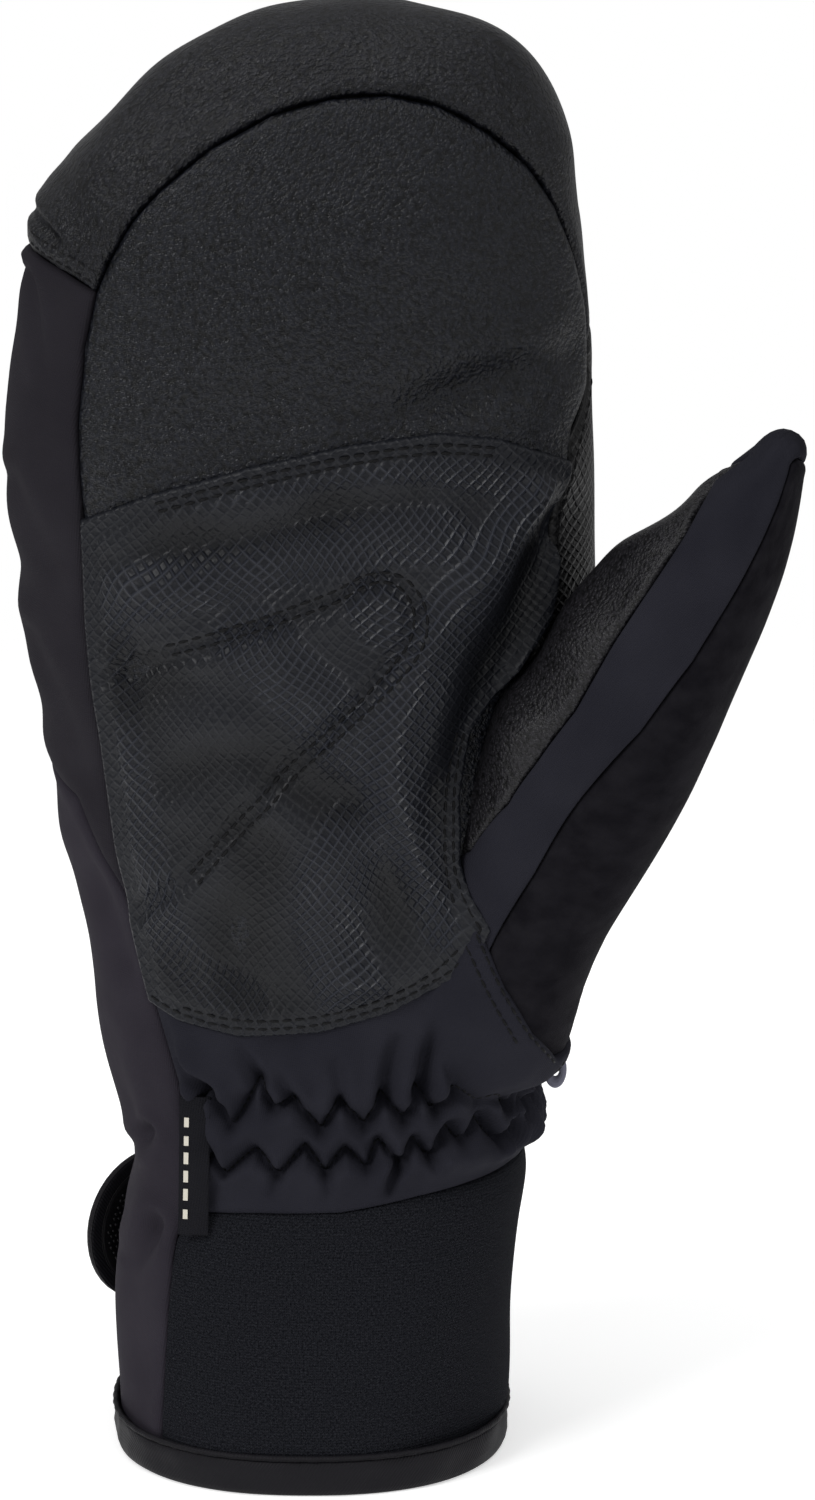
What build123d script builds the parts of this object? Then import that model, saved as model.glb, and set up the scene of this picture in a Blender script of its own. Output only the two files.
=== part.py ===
"""Right-hand insulated ski mitten with a short under-sleeve cuff, standing on its hem.

The palm faces -Y, the fingers point up (+Z) and the thumb lies on the +X side.
The origin is the centre of the wrist opening, in the plane of the hem.
Each layer is a shell between two insets of one form: the form of the hand, or that of the thumb.
An inset is the distance inwards from the face of the outer fabric. All sizes are in millimetres.
"""

from build123d import *

import os
from math import cos, pi, sin, sqrt

# Outer form of the hand: heights above the hem, with half width, half depth, centre x and centre y.
hem_half_width = 38.4
hem_half_depth = 35.0
cuff_height = 57.0
cuff_half_width = 39.0
cuff_half_depth = 32.5
cuff_shift = 1.2
wrist_height = 68.0
wrist_half_width = 41.0
wrist_half_depth = 30.0
wrist_shift = 2.5
heel_height = 100.0
heel_half_width = 45.2
heel_half_depth = 31.5
heel_shift = 1.8
heel_lean = 1.5
palm_height = 150.0
palm_half_width = 51.8
palm_half_depth = 31.5
palm_lean = 6.5
knuckle_height = 205.0
knuckle_half_width = 54.8
knuckle_half_depth = 29.0
knuckle_shift = -2.4
knuckle_lean = 12.5
shoulder_height = 246.0
shoulder_half_width = 50.4
shoulder_half_depth = 25.5
shoulder_shift = -0.3
shoulder_lean = 18.0
hand_length = 286.0
tip_shift = 9.0
tip_lean = 21.0
section_power = 2.3  # 2 is an ellipse, and more is squarer

# Outer form of the thumb: distances along its own axis from its root, with half width, half depth and offset.
thumb_root = (34.0, -15.0, 96.5)
thumb_tip = (88.0, -38.0, 207.7)
thumb_buried = 26.0
thumb_buried_half = 12.0
thumb_root_half_width = 18.2
thumb_root_half_depth = 17.5
thumb_ball_at = 50.0
thumb_ball_half_width = 19.8
thumb_ball_half_depth = 18.5
thumb_ball_offset = -4.6
thumb_joint_at = 85.0
thumb_joint_half_width = 16.9
thumb_joint_half_depth = 16.2
thumb_joint_offset = -2.4
thumb_nail_at = 103.0
thumb_nail_half_width = 12.8
thumb_nail_half_depth = 12.8
thumb_nail_offset = -1.0
thumb_hole_radius = 9.2
thumb_hole_reach = 60.0
thumb_seam_root = -21.0  # edge of the thumb's leather, across the thumb, at its root and its tip
thumb_seam_tip = -8.5
thumb_strip_root = 10.0  # width of the thumb's softshell strip
thumb_strip_tip = 12.5
thumb_cap = 9.0  # length of the tip that the strip wraps

# Layers, from the outside in.
shell_thickness = 1.4
insulation_thickness = 4.0
membrane_thickness = 0.4
lining_thickness = 1.6
layer_gap = 0.2
patch_thickness = 0.9
neoprene_thickness = 2.6
cuff_lining_thickness = 1.4

# Seams of the outer fabrics.
fold_height = 208.5
fold_slope = 0.105  # rise of the finger seam towards the thumb side
fold_gap = 0.5
thumb_clearance = 0.5
side_band = 11.0  # how far the side gussets show on the back
palm_seam_inset = 13.5
palm_seam_inset_index = 3.0
arch_height = 222.0  # where the dome seam starts to turn in
tip_seam_drop = 14.5
wrap_height = 231.0
wrap_slope = -0.17
gusset_foot_height = 124.0
gusset_foot_slope = -2.0
gusset_foot_x = -40.0
patch_top_drop = 5.5  # from the middle of the fold to the top edge of the patch
patch_corner_drop = 12.0
patch_foot_height = 91.0
patch_foot_x = -12.0
patch_foot_rise = 18.0
patch_index_inset = 4.5
patch_lift = 0.15
thumb_margin = 1.3

# Wrist, cuff, hem, strap and label.
elastic_height = 13.0
elastic_thickness = 0.9
binding_height = 7.2
binding_thickness = 0.8
side_seam_x = -27.0
back_seam_x = 12.0
strap_height = 31.0
strap_centre_height = 34.5
strap_thickness = 1.5
strap_root_x = 31.0
tab_root_x = -4.0
tab_tangent_x = -28.0
tab_reach = 44.4
tab_lift = 2.05
hook_thickness = 0.8
hook_start_x = -17.0
hook_margin = 2.6
loop_thickness = 0.8
loop_start_x = -15.0
loop_end_x = -33.0
anchor_end_x = -11.0
label_start_x = -25.2
label_width = 6.0
label_height = 28.0
label_bottom = 50.8
label_thickness = 0.6
label_lift = 0.6

sliver = 5.0  # a cut-off smaller than this is dropped
SIDES = 20
DOME_STEPS = (0.4, 0.7, 0.88, 0.97)
FAR = 200.0


def ring(height, half_width, half_depth, x, y):
    """Corners of a superellipse section, evenly turned about its centre."""
    corners = []
    for i in range(SIDES):
        turn = 2 * pi * i / SIDES
        across = abs(cos(turn)) ** (2 / section_power) * (1 if cos(turn) >= 0 else -1)
        deep = abs(sin(turn)) ** (2 / section_power) * (1 if sin(turn) >= 0 else -1)
        corners.append((x + half_width * across, y + half_depth * deep, height))
    return corners


def between(stations, height):
    """Station values at a height, by straight interpolation."""
    for low, high in zip(stations, stations[1:]):
        if low[0] <= height <= high[0]:
            share = (height - low[0]) / (high[0] - low[0])
            return [a + (b - a) * share for a, b in zip(low, high)]
    return list(stations[0] if height < stations[0][0] else stations[-1])


# Height, half width, half depth, centre x, centre y.
HAND = [
    (0.0, hem_half_width, hem_half_depth, 0.0, 0.0),
    (cuff_height * 0.65, (hem_half_width + cuff_half_width) / 2, (hem_half_depth + cuff_half_depth) / 2,
     cuff_shift * 0.3, 0.0),
    (cuff_height, cuff_half_width, cuff_half_depth, cuff_shift, 0.0),
    (wrist_height, wrist_half_width, wrist_half_depth, wrist_shift, 0.0),
    (heel_height, heel_half_width, heel_half_depth, heel_shift, -heel_lean),
    ((heel_height + palm_height) / 2, (heel_half_width + palm_half_width) / 2 + 0.6,
     (heel_half_depth + palm_half_depth) / 2 + 0.4, heel_shift / 2, -(heel_lean + palm_lean) / 2),
    (palm_height, palm_half_width, palm_half_depth, 0.0, -palm_lean),
    (knuckle_height, knuckle_half_width, knuckle_half_depth, knuckle_shift, -knuckle_lean),
    (shoulder_height, shoulder_half_width, shoulder_half_depth, shoulder_shift, -shoulder_lean),
]

THUMB = [
    (-thumb_buried, thumb_buried_half, thumb_buried_half, 0.0, 0.0),
    (0.0, thumb_root_half_width, thumb_root_half_depth, 0.0, 0.0),
    (thumb_ball_at, thumb_ball_half_width, thumb_ball_half_depth, thumb_ball_offset, 0.0),
    (thumb_joint_at, thumb_joint_half_width, thumb_joint_half_depth, thumb_joint_offset, 0.0),
    (thumb_nail_at, thumb_nail_half_width, thumb_nail_half_depth, thumb_nail_offset, 0.0),
]


def facet(*corners):
    return Face(Wire.make_polygon([Vector(*corner) for corner in corners], close=True))


def form(stations, top, tip_x, tip_y, inset, skirt=0.0):
    """Faceted solid of a form, set in by the inset: rings through the stations, and a dome up to the top."""
    rings = []
    if skirt:
        stations = [(-skirt, *stations[0][1:]), *stations]
    for height, half_width, half_depth, x, y in stations:
        rings.append(ring(height, half_width - inset, half_depth - inset, x, y))
    height, half_width, half_depth, x, y = stations[-1]
    rise = top - inset - height
    for step in DOME_STEPS:
        lean = step * step
        width = sqrt(1 - step * step)
        centre = (x + (tip_x - x) * lean, y + (tip_y - y) * lean)
        rings.append(ring(height + rise * step, (half_width - inset) * width, (half_depth - inset) * width, *centre))
    facets = [facet(*reversed(rings[0]))]
    for low, high in zip(rings, rings[1:]):
        for i in range(SIDES):
            j = (i + 1) % SIDES
            facets.append(facet(low[i], low[j], high[j]))
            facets.append(facet(low[i], high[j], high[i]))
    for i in range(SIDES):
        facets.append(facet(rings[-1][i], rings[-1][(i + 1) % SIDES], (tip_x, tip_y, height + rise)))
    return Solid(Shell(facets))


hand_forms = {}
thumb_forms = {}
thumb_axis = (Vector(*thumb_tip) - Vector(*thumb_root)).normalized()
thumb_length = (Vector(*thumb_tip) - Vector(*thumb_root)).length
thumb_plane = Plane(thumb_root, x_dir=Vector(0, 1, 0).cross(thumb_axis), z_dir=thumb_axis)


def hand(inset):
    """Solid of the hand's form, reaching below the hem so that cuts pass right through it."""
    key = round(inset, 3)
    if key not in hand_forms:
        hand_forms[key] = form(HAND, hand_length, tip_shift, -tip_lean, inset, skirt=6.0)
    return hand_forms[key]


def thumb(inset):
    """Solid of the thumb's form in its place, its root buried in the hand."""
    key = round(inset, 3)
    if key not in thumb_forms:
        thumb_forms[key] = thumb_plane * form(THUMB, thumb_length, 0.0, 0.0, inset)
    return thumb_forms[key]




def layer(outer, inner):
    """Layer of the hand between two insets."""
    return hand(outer) - hand(inner)


def prism(plane, points):
    """Region of space that is the polygon when seen along the plane's normal."""
    return extrude(plane * make_face(Polyline(*points, close=True)), FAR, both=True)


def seen_from_front(points):
    return prism(Plane.XZ, points)


def seen_from_side(points):
    return prism(Plane.YZ, points)


def seen_across_thumb(points):
    """Region bounded by (across, along) points of the thumb, seen square on to its palm side."""
    return prism(Plane(thumb_root, x_dir=thumb_plane.x_dir, z_dir=-thumb_plane.y_dir), points)


def slab(low, high):
    return Pos(0, 0, (low + high) / 2) * Box(2 * FAR, 2 * FAR, high - low)


def tidy(part):
    """The pieces of a cut part that are more than slivers."""
    return Compound(children=[piece for piece in part.solids() if piece.volume > sliver])


def left_edge(height, inset):
    _, half_width, _, x, _ = between(HAND, height)
    return (x - half_width + inset, height)


def right_edge(height, inset):
    _, half_width, _, x, _ = between(HAND, height)
    return (x + half_width - inset, height)


def fold_at(x, side):
    """Point of the finger seam's plane at x, on the hand's side (-1) or the fingers' side (+1)."""
    return (x, fold_height + fold_slope * x + side * fold_gap / 2)


def arc_of_section(height, inset, start_x, end_x, side, steps=10):
    """Points of the form's section at a height, on the back (+1) or front (-1), between two x values."""
    _, half_width, half_depth, x, y = between(HAND, height)
    points = []
    for i in range(steps + 1):
        at = start_x + (end_x - start_x) * i / steps
        share = abs((at - x) / (half_width - inset)) ** section_power
        points.append((at, y + side * (half_depth - inset) * (1 - share) ** (1 / section_power)))
    return points


# Regions that the seams bound.
middle = [(y, height) for height, _, _, _, y in HAND] + [(-tip_lean, hand_length + 10)]
front = seen_from_side([(-FAR, -FAR), (0, -FAR), *middle, (-FAR, hand_length + 10)])
hand_side = seen_from_front([fold_at(-FAR, -1), fold_at(FAR, -1), (FAR, -FAR), (-FAR, -FAR)])
finger_side = seen_from_front([fold_at(-FAR, 1), fold_at(FAR, 1), (FAR, 2 * FAR), (-FAR, 2 * FAR)])
upper = slab(cuff_height, hand_length + 10)

arch_left = left_edge(arch_height, palm_seam_inset)[0]
arch_right = right_edge(arch_height, palm_seam_inset_index)[0]
arch_centre = (arch_left + arch_right) / 2
arch_half = (arch_right - arch_left) / 2
arch_rise = hand_length - tip_seam_drop - arch_height
arch = []
for i in range(13):
    turn = pi * i / 12
    arch.append((arch_centre - arch_half * cos(turn), arch_height + arch_rise * sin(turn)))
seam_start = patch_foot_height + patch_foot_rise
seam_heights = [seam_start, palm_height, fold_height]
dome_outline = [left_edge(height, palm_seam_inset) for height in seam_heights] + arch
dome_outline += [right_edge(height, palm_seam_inset_index) for height in reversed(seam_heights)]
dome = seen_from_front(dome_outline) & front

band_heights = [-10.0, cuff_height, heel_height, palm_height, knuckle_height, shoulder_height, hand_length + 10]
back_outline = [left_edge(height, side_band) for height in band_heights]
back_outline += [right_edge(height, side_band) for height in reversed(band_heights)]
back = seen_from_front(back_outline) - front

wrap_line = [(x, wrap_height + wrap_slope * x) for x in (-FAR, FAR)]
wrap_side = seen_from_front([*wrap_line, (FAR, 2 * FAR), (-FAR, 2 * FAR)])

# Lower edge of the palm: a bow that rises towards the thumb.
foot_left = left_edge(patch_foot_height, palm_seam_inset)[0]
foot_right = right_edge(patch_foot_height, 0)[0]
foot = []
for i in range(9):
    x = foot_left + (foot_right - foot_left) * i / 8
    rise = ((x - patch_foot_x) / (foot_right - patch_foot_x)) ** 2
    foot.append((x, patch_foot_height + patch_foot_rise * rise))
palm_left = left_edge(knuckle_height, palm_seam_inset)[0]
palm_right = right_edge(knuckle_height, patch_index_inset)[0]
palm_outline = seen_from_front([*reversed(foot), left_edge(palm_height, palm_seam_inset), fold_at(palm_left, -1),
                                fold_at(palm_right, -1), right_edge(palm_height, patch_index_inset)]) & front

thumb_hole = thumb_plane * Pos(0, 0, -thumb_buried) * Cylinder(
    thumb_hole_radius, thumb_buried + thumb_hole_reach, align=(Align.CENTER, Align.CENTER, Align.MIN))

pieces = {}

# Outer fabrics of the fingers.
shell = layer(0, shell_thickness)
finger_shell = shell & finger_side
finger_low = finger_shell - wrap_side
pieces["finger_palm_panel"] = finger_shell & dome
pieces["fingertip_wrap"] = (finger_shell & wrap_side) - dome
pieces["finger_back_panel"] = finger_low & back
gussets = tidy(finger_low - dome - back).solids().sort_by(Axis.X)
pieces["pinky_gusset"] = gussets[0]
pieces["index_gusset"] = gussets[-1]

# Outer fabrics of the palm, the heel and the back of the hand.
hand_shell = (shell & hand_side & upper) - thumb_hole
thumb_side = seen_from_front([(0, -FAR), (FAR, -FAR), (FAR, 2 * FAR), (0, 2 * FAR)])
above_foot = seen_from_front([(-FAR, foot[0][1]), *foot, (FAR, foot[-1][1]), (FAR, 2 * FAR), (-FAR, 2 * FAR)])
foot_seam = [(x, gusset_foot_height + gusset_foot_slope * (x - gusset_foot_x)) for x in (-FAR, FAR)]
above_gusset_foot = seen_from_front([*foot_seam, (FAR, 3 * FAR), (-FAR, 3 * FAR)])
pieces["palm_base_panel"] = hand_shell & palm_outline
pieces["back_hand_panel"] = hand_shell & back
hand_sides = hand_shell - palm_outline - back
index_side = hand_sides & thumb_side
pieces["index_side_panel"] = index_side & above_foot
side_seam = [(side_seam_x, -FAR), (side_seam_x, cuff_height + 5), (foot_left, patch_foot_height)]
side_seam += [left_edge(height, palm_seam_inset) for height in (seam_start, palm_height)]
pinky_side = seen_from_front([*side_seam, (side_seam[-1][0], 2 * FAR), (-FAR, 2 * FAR), (-FAR, -FAR)])
pinky_strip = hand_sides & pinky_side
pieces["pinky_palm_gusset"] = pinky_strip & above_gusset_foot
pieces["heel_panel"] = (hand_sides - pinky_side) - (thumb_side & above_foot)

# Cuff, its lining with the flange that closes the layers, and the bound hem.
hem_rim = binding_thickness + layer_gap
cuff = layer(0, neoprene_thickness) & slab(hem_rim, cuff_height)
cuff_front = seen_from_front([(side_seam_x, -FAR), (FAR, -FAR), (FAR, FAR), (side_seam_x, FAR)])
cuff_back = seen_from_front([(back_seam_x, -FAR), (FAR, -FAR), (FAR, FAR), (back_seam_x, FAR)])
knit_side = (cuff_front & front) + (cuff_back - front)
pieces["cuff_panel"] = cuff & knit_side
pieces["side_panel"] = (cuff - knit_side) + (pinky_strip - above_gusset_foot)
lining_face = neoprene_thickness + layer_gap
lining_back = lining_face + cuff_lining_thickness
inner_face = shell_thickness + layer_gap
membrane_face = inner_face + insulation_thickness + layer_gap
liner_face = membrane_face + membrane_thickness + layer_gap
bore = liner_face + lining_thickness
flange_low = cuff_height - cuff_lining_thickness
cuff_lining = layer(lining_face, lining_back) & slab(hem_rim, cuff_height)
pieces["cuff_lining"] = cuff_lining + (layer(lining_face, bore) & slab(flange_low, cuff_height))
binding = layer(-binding_thickness - layer_gap, lining_back + layer_gap + binding_thickness) & slab(0, binding_height)
binding_room = layer(-layer_gap, lining_back + layer_gap) & slab(binding_thickness, binding_height + 1)
pieces["hem_binding"] = binding - binding_room

# Inner layers, each in a hand part and a finger part.
layers_low = cuff_height + layer_gap
elastic_low = wrist_height - elastic_height / 2
elastic = layer(inner_face, inner_face + elastic_thickness) & slab(elastic_low, elastic_low + elastic_height)
pieces["wrist_elastic"] = elastic
elastic_room = layer(shell_thickness, inner_face + elastic_thickness + layer_gap)
elastic_room &= slab(elastic_low - layer_gap, elastic_low + elastic_height + layer_gap)
inner_layers = {
    "insulation": (inner_face, membrane_face - layer_gap),
    "membrane": (membrane_face, liner_face - layer_gap),
    "lining": (liner_face, bore),
}
for name, (outer, inner) in inner_layers.items():
    whole = layer(outer, inner)
    pieces[f"finger_{name}"] = whole & finger_side
    pieces[f"hand_{name}"] = (whole & hand_side & slab(layers_low, hand_length)) - thumb_hole
pieces["hand_insulation"] -= elastic_room

# Thumb: its layers butt against the outside of the hand.
clearing = hand(-thumb_clearance)
seam_points = [(thumb_seam_root, 0), (thumb_seam_tip, thumb_length - thumb_cap)]
strip_points = [(thumb_seam_tip + thumb_strip_tip, thumb_length - thumb_cap), (thumb_seam_root + thumb_strip_root, 0)]
leather_side = seen_across_thumb([(-FAR, 0), *seam_points, (-FAR, thumb_length - thumb_cap)])
cap = seen_across_thumb([(-FAR, thumb_length - thumb_cap), (FAR, thumb_length - thumb_cap), (FAR, FAR), (-FAR, FAR)])
thumb_front = thumb_plane * Pos(0, -FAR, 0) * Box(2 * FAR, 2 * FAR, 2 * FAR)
strip = (seen_across_thumb([*seam_points, *strip_points]) & thumb_front) + cap
thumb_shell = (thumb(0) - thumb(shell_thickness)) - clearing
pieces["thumb_gusset"] = thumb_shell & strip
pieces["thumb_palm_panel"] = (thumb_shell & leather_side) - strip
pieces["thumb_back_panel"] = (thumb_shell - leather_side) - strip
for name, (outer, inner) in inner_layers.items():
    pieces[f"thumb_{name}"] = (thumb(outer) - thumb(inner)) - clearing

# Grip patch laid over the palm.
patch_corner = (palm_left, fold_at(palm_left, -1)[1] - patch_corner_drop)
patch_crest = [(x, fold_at(x, -1)[1] - patch_top_drop) for x in (0, palm_right / 2, palm_right)]
patch_left = [left_edge(height, palm_seam_inset) for height in (seam_start, palm_height)]
patch_outline = [patch_corner, *patch_crest, right_edge(palm_height, patch_index_inset), *reversed(foot), *patch_left]
patch = layer(-patch_lift - patch_thickness, -patch_lift) & seen_from_front(patch_outline) & front
pieces["palm_patch"] = patch - thumb(-thumb_margin)

# Closure on the back of the cuff: the sewn strap, the loop patch, and the tab with its hook patch.
strap_low = strap_centre_height - strap_height / 2


def strap_band(points, thickness):
    """Upright band along a path on the back, its inner face on the path."""
    outer = []
    for i, point in enumerate(points):
        before = Vector(*points[max(i - 1, 0)])
        after = Vector(*points[min(i + 1, len(points) - 1)])
        along = (after - before).normalized()
        outer.append((point[0] + along.Y * thickness, point[1] - along.X * thickness))
    face = make_face(Polyline(*points, *reversed(outer), close=True))
    return Pos(0, 0, strap_low) * extrude(face, strap_height)


def on_back(lift, start_x, end_x):
    return arc_of_section(strap_low, -lift, start_x, end_x, 1)


def rounded_end(end_x, margin):
    """Region of a strap piece whose free end is a half round."""
    radius = strap_height / 2 - margin
    middle_height = strap_low + strap_height / 2
    disc = Plane.XZ * Pos(end_x + radius, middle_height) * Circle(radius)
    body = Plane.XZ * Pos(end_x + radius + FAR / 2, middle_height) * Rectangle(FAR, 2 * radius)
    return extrude(disc + body, FAR, both=True)


pieces["strap_anchor"] = strap_band(on_back(patch_lift, strap_root_x, anchor_end_x), strap_thickness)

loop_band = on_back(patch_lift, loop_start_x, loop_end_x)
pieces["loop_patch"] = strap_band(loop_band, loop_thickness) & rounded_end(loop_end_x, hook_margin)
tab_path = on_back(tab_lift, tab_root_x, tab_tangent_x)
lead = (Vector(*tab_path[-1]) - Vector(*tab_path[-2])).normalized()
hook_path = [point for point in tab_path if point[0] < hook_start_x]
tab_end = Vector(*tab_path[-1]) + lead * (tab_reach + tab_tangent_x) / abs(lead.X)
tab_path.append((tab_end.X, tab_end.Y))
hook_path.append((tab_end.X, tab_end.Y))
pieces["strap_tab"] = strap_band(tab_path, strap_thickness) & rounded_end(-tab_reach, 0)
pieces["hook_patch"] = strap_band(hook_path, -hook_thickness) & rounded_end(-tab_reach + hook_margin, hook_margin)

# Woven label caught in the side seam.
label_face = []
for x in (label_start_x, label_start_x + label_width):
    lift_line = [arc_of_section(height, -label_lift, x, x, -1, 1)[0][1] for height in (label_bottom, wrist_height)]
    label_face.append((x, min(lift_line)))
label_path = [*label_face, (label_face[1][0], label_face[1][1] - label_thickness),
              (label_face[0][0], label_face[0][1] - label_thickness)]
pieces["seam_label"] = Pos(0, 0, label_bottom) * extrude(make_face(Polyline(*label_path, close=True)), label_height)

os.makedirs("parts", exist_ok=True)
for name, piece in pieces.items():
    export_step(tidy(piece), f"parts/{name}.step")
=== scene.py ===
import bmesh
import bpy
import math
import numpy as np
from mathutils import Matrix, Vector, geometry
from mathutils.bvhtree import BVHTree


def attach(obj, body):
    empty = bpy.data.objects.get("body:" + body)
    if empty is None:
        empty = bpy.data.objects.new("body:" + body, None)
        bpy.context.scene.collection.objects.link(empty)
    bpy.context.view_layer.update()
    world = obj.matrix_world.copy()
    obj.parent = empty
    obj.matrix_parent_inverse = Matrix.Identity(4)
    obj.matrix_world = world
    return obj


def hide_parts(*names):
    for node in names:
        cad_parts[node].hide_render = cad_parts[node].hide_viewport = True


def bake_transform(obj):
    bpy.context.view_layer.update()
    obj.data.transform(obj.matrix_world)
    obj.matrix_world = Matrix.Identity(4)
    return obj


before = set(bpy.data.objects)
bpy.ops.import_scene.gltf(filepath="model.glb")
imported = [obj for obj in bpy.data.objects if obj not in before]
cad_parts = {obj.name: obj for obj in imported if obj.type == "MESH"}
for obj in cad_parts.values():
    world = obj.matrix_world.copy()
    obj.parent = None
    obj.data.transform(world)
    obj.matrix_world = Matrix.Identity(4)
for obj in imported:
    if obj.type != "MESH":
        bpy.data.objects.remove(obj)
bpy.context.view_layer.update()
mm = 0.001
rng = np.random.default_rng(7)

# Forms. A form is a stack of superellipse sections closed by a dome. n runs once round it from the palm's
# middle towards the thumb side, v runs up it, and both are arc lengths in millimetres.


class Form:
    def __init__(self, levels, top, tipX, tipY, power=2.3, soft=3.0, matrix=None):
        z, left, right, depth, y = [np.array(c, float) for c in zip(*levels)]
        fine = np.arange(z[0], z[-1] + 0.01, 1.0)
        rows = [np.interp(fine, z, q) for q in ((right - left) / 2, depth, (right + left) / 2, y)]
        pad = int(4 * soft)
        kernel = np.exp(-0.5 * (np.arange(-pad, pad + 1) / soft) ** 2)
        kernel /= kernel.sum()
        smooth = []
        for row in rows:
            start = row[0] - (row[1:pad + 1][::-1] - row[0])
            end = row[-1] + (row[-1] - row[-pad - 1:-1][::-1])
            smooth.append(np.convolve(np.concatenate([start, row, end]), kernel, "valid"))
        half, depth, x, y = smooth
        tau = np.linspace(0, math.pi / 2, 60)[1:]
        rise = np.sin(tau)
        steep, blunt, lean = 1.2, 0.37, 1.3
        wide = (1 - rise ** steep) ** blunt
        shift = np.sin(math.pi / 2 * rise) ** lean
        self.z = np.concatenate([fine, fine[-1] + (top - fine[-1]) * rise])
        self.half = np.concatenate([half, half[-1] * wide])
        self.depth = np.concatenate([depth, depth[-1] * wide])
        self.x = np.concatenate([x, x[-1] + (tipX - x[-1]) * shift])
        self.y = np.concatenate([y, y[-1] + (tipY - y[-1]) * rise])
        radius = (self.half + self.depth) / 2
        self.v = np.concatenate([[0], np.cumsum(np.hypot(np.diff(self.z), np.diff(radius)))])
        self.length = self.v[-1]
        self.power = power
        self.matrix = matrix
        steps = 720
        self.turns = np.linspace(-math.pi, math.pi, steps + 1)
        across, deep = self.unit(self.turns)
        arcs = []
        for a, b in zip(self.half, self.depth):
            step = np.hypot(np.diff(across) * max(a, 0.01), np.diff(deep) * max(b, 0.01))
            arc = np.concatenate([[0], np.cumsum(step)])
            arcs.append(arc / arc[-1] - 0.5)
        self.arcs = np.array(arcs)
        shares = np.linspace(-0.5, 0.5, steps + 1)
        self.turnAt = np.array([np.interp(shares, arc, self.turns) for arc in arcs])
        squareness = 1.04
        self.round = 2 * math.pi * float(np.mean((self.half + self.depth)[:len(fine)]) / 2) * squareness

    def unit(self, turn):
        s, c = np.sin(turn), np.cos(turn)
        k = 2 / self.power
        return np.sign(s) * np.abs(s) ** k, -np.sign(c) * np.abs(c) ** k

    def turn(self, n, v):
        row = np.interp(v, self.v, np.arange(len(self.v)))
        last = len(self.turns) - 2
        col = (n + 0.5) % 1.0 * (last + 1)
        i = np.clip(row.astype(int), 0, len(self.v) - 2)
        j = np.clip(col.astype(int), 0, last)
        fi, fj = row - i, col - j
        t = self.turnAt
        return ((t[i, j] * (1 - fj) + t[i, j + 1] * fj) * (1 - fi)
                + (t[i + 1, j] * (1 - fj) + t[i + 1, j + 1] * fj) * fi)

    def point(self, n, v):
        n, v = np.asarray(n, float), np.asarray(v, float)
        across, deep = self.unit(self.turn(n, v))
        half, depth = np.interp(v, self.v, self.half), np.interp(v, self.v, self.depth)
        p = np.stack([np.interp(v, self.v, self.x) + half * across,
                      np.interp(v, self.v, self.y) + depth * deep,
                      np.interp(v, self.v, self.z)], -1)
        return self.place(p)

    def place(self, p):
        if self.matrix is None:
            return p
        origin, axes = self.matrix
        return origin + p @ axes

    def normal(self, n, v):
        v = np.clip(v, 0.3, self.length - 0.6)
        aside, ahead = 0.004, 0.5
        dn = self.point(n + aside, v) - self.point(n - aside, v)
        dv = self.point(n, v + ahead) - self.point(n, v - ahead)
        out = np.cross(dn, dv)
        return out / np.maximum(np.linalg.norm(out, axis=-1, keepdims=True), 1e-9)

    def level(self, p, grow=0.0):
        # below 1 inside the form, above 1 outside it
        if self.matrix is not None:
            origin, axes = self.matrix
            p = (p - origin) @ axes.T
        z = p[..., 2]
        half = np.maximum(np.interp(z, self.z, self.half) + grow, 0.05)
        depth = np.maximum(np.interp(z, self.z, self.depth) + grow, 0.05)
        u = np.abs(p[..., 0] - np.interp(z, self.z, self.x)) / half
        w = np.abs(p[..., 1] - np.interp(z, self.z, self.y)) / depth
        return (u ** self.power + w ** self.power) ** (1 / self.power)

    def up(self, z):
        return np.interp(z, self.z, self.v)

    def at(self, x, z, back=False):
        # n and v of the point seen at x and height z, on the palm side or the back
        v = float(self.up(z))
        half, mid = np.interp(v, self.v, self.half), np.interp(v, self.v, self.x)
        u = max(-1.0, min(1.0, (x - mid) / max(half, 1e-6)))
        turn = math.asin(math.copysign(abs(u) ** (self.power / 2), u))
        if back:
            turn = math.copysign(math.pi, turn) - turn
        row = int(round(np.interp(v, self.v, np.arange(len(self.v)))))
        return float(np.interp(turn, self.turns, self.arcs[row])), v


handLevels = [
    # height, left, right, half depth, middle y
    (0, -38.0, 36.7, 35.0, 0.0), (10, -38.4, 37.3, 34.8, 0.0), (22, -38.4, 38.0, 34.4, 0.0),
    (35, -38.3, 38.8, 34.1, 0.0),
    (48, -37.4, 39.2, 33.2, 0.0), (57, -34.8, 41.4, 31.6, 0.0), (62, -35.4, 40.6, 30.6, 0.0),
    (68, -37.3, 40.6, 30.0, 0.0), (79, -39.6, 42.8, 30.2, -0.3), (99, -42.8, 46.6, 31.5, -1.5),
    (109, -43.9, 48.2, 31.8, -2.5), (117, -44.3, 49.2, 31.9, -3.2), (125, -47.4, 50.2, 32.0, -4.0),
    (145, -50.8, 51.8, 31.6, -6.0),
    (160, -53.4, 52.6, 31.0, -7.6), (175, -54.4, 53.0, 30.5, -9.0), (190, -55.8, 52.6, 29.8, -10.7),
    (200, -57.2, 52.4, 29.2, -12.0), (208, -57.3, 52.3, 28.8, -13.0), (216, -55.2, 52.4, 28.3, -14.0),
    (222, -53.8, 52.3, 27.9, -14.8), (228, -53.4, 52.2, 27.5, -15.5), (240, -52.8, 51.2, 26.3, -17.0),
    (248, -50.3, 49.8, 25.5, -18.0),
]
hand = Form(handLevels, 286, 9.0, -21.0)

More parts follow.
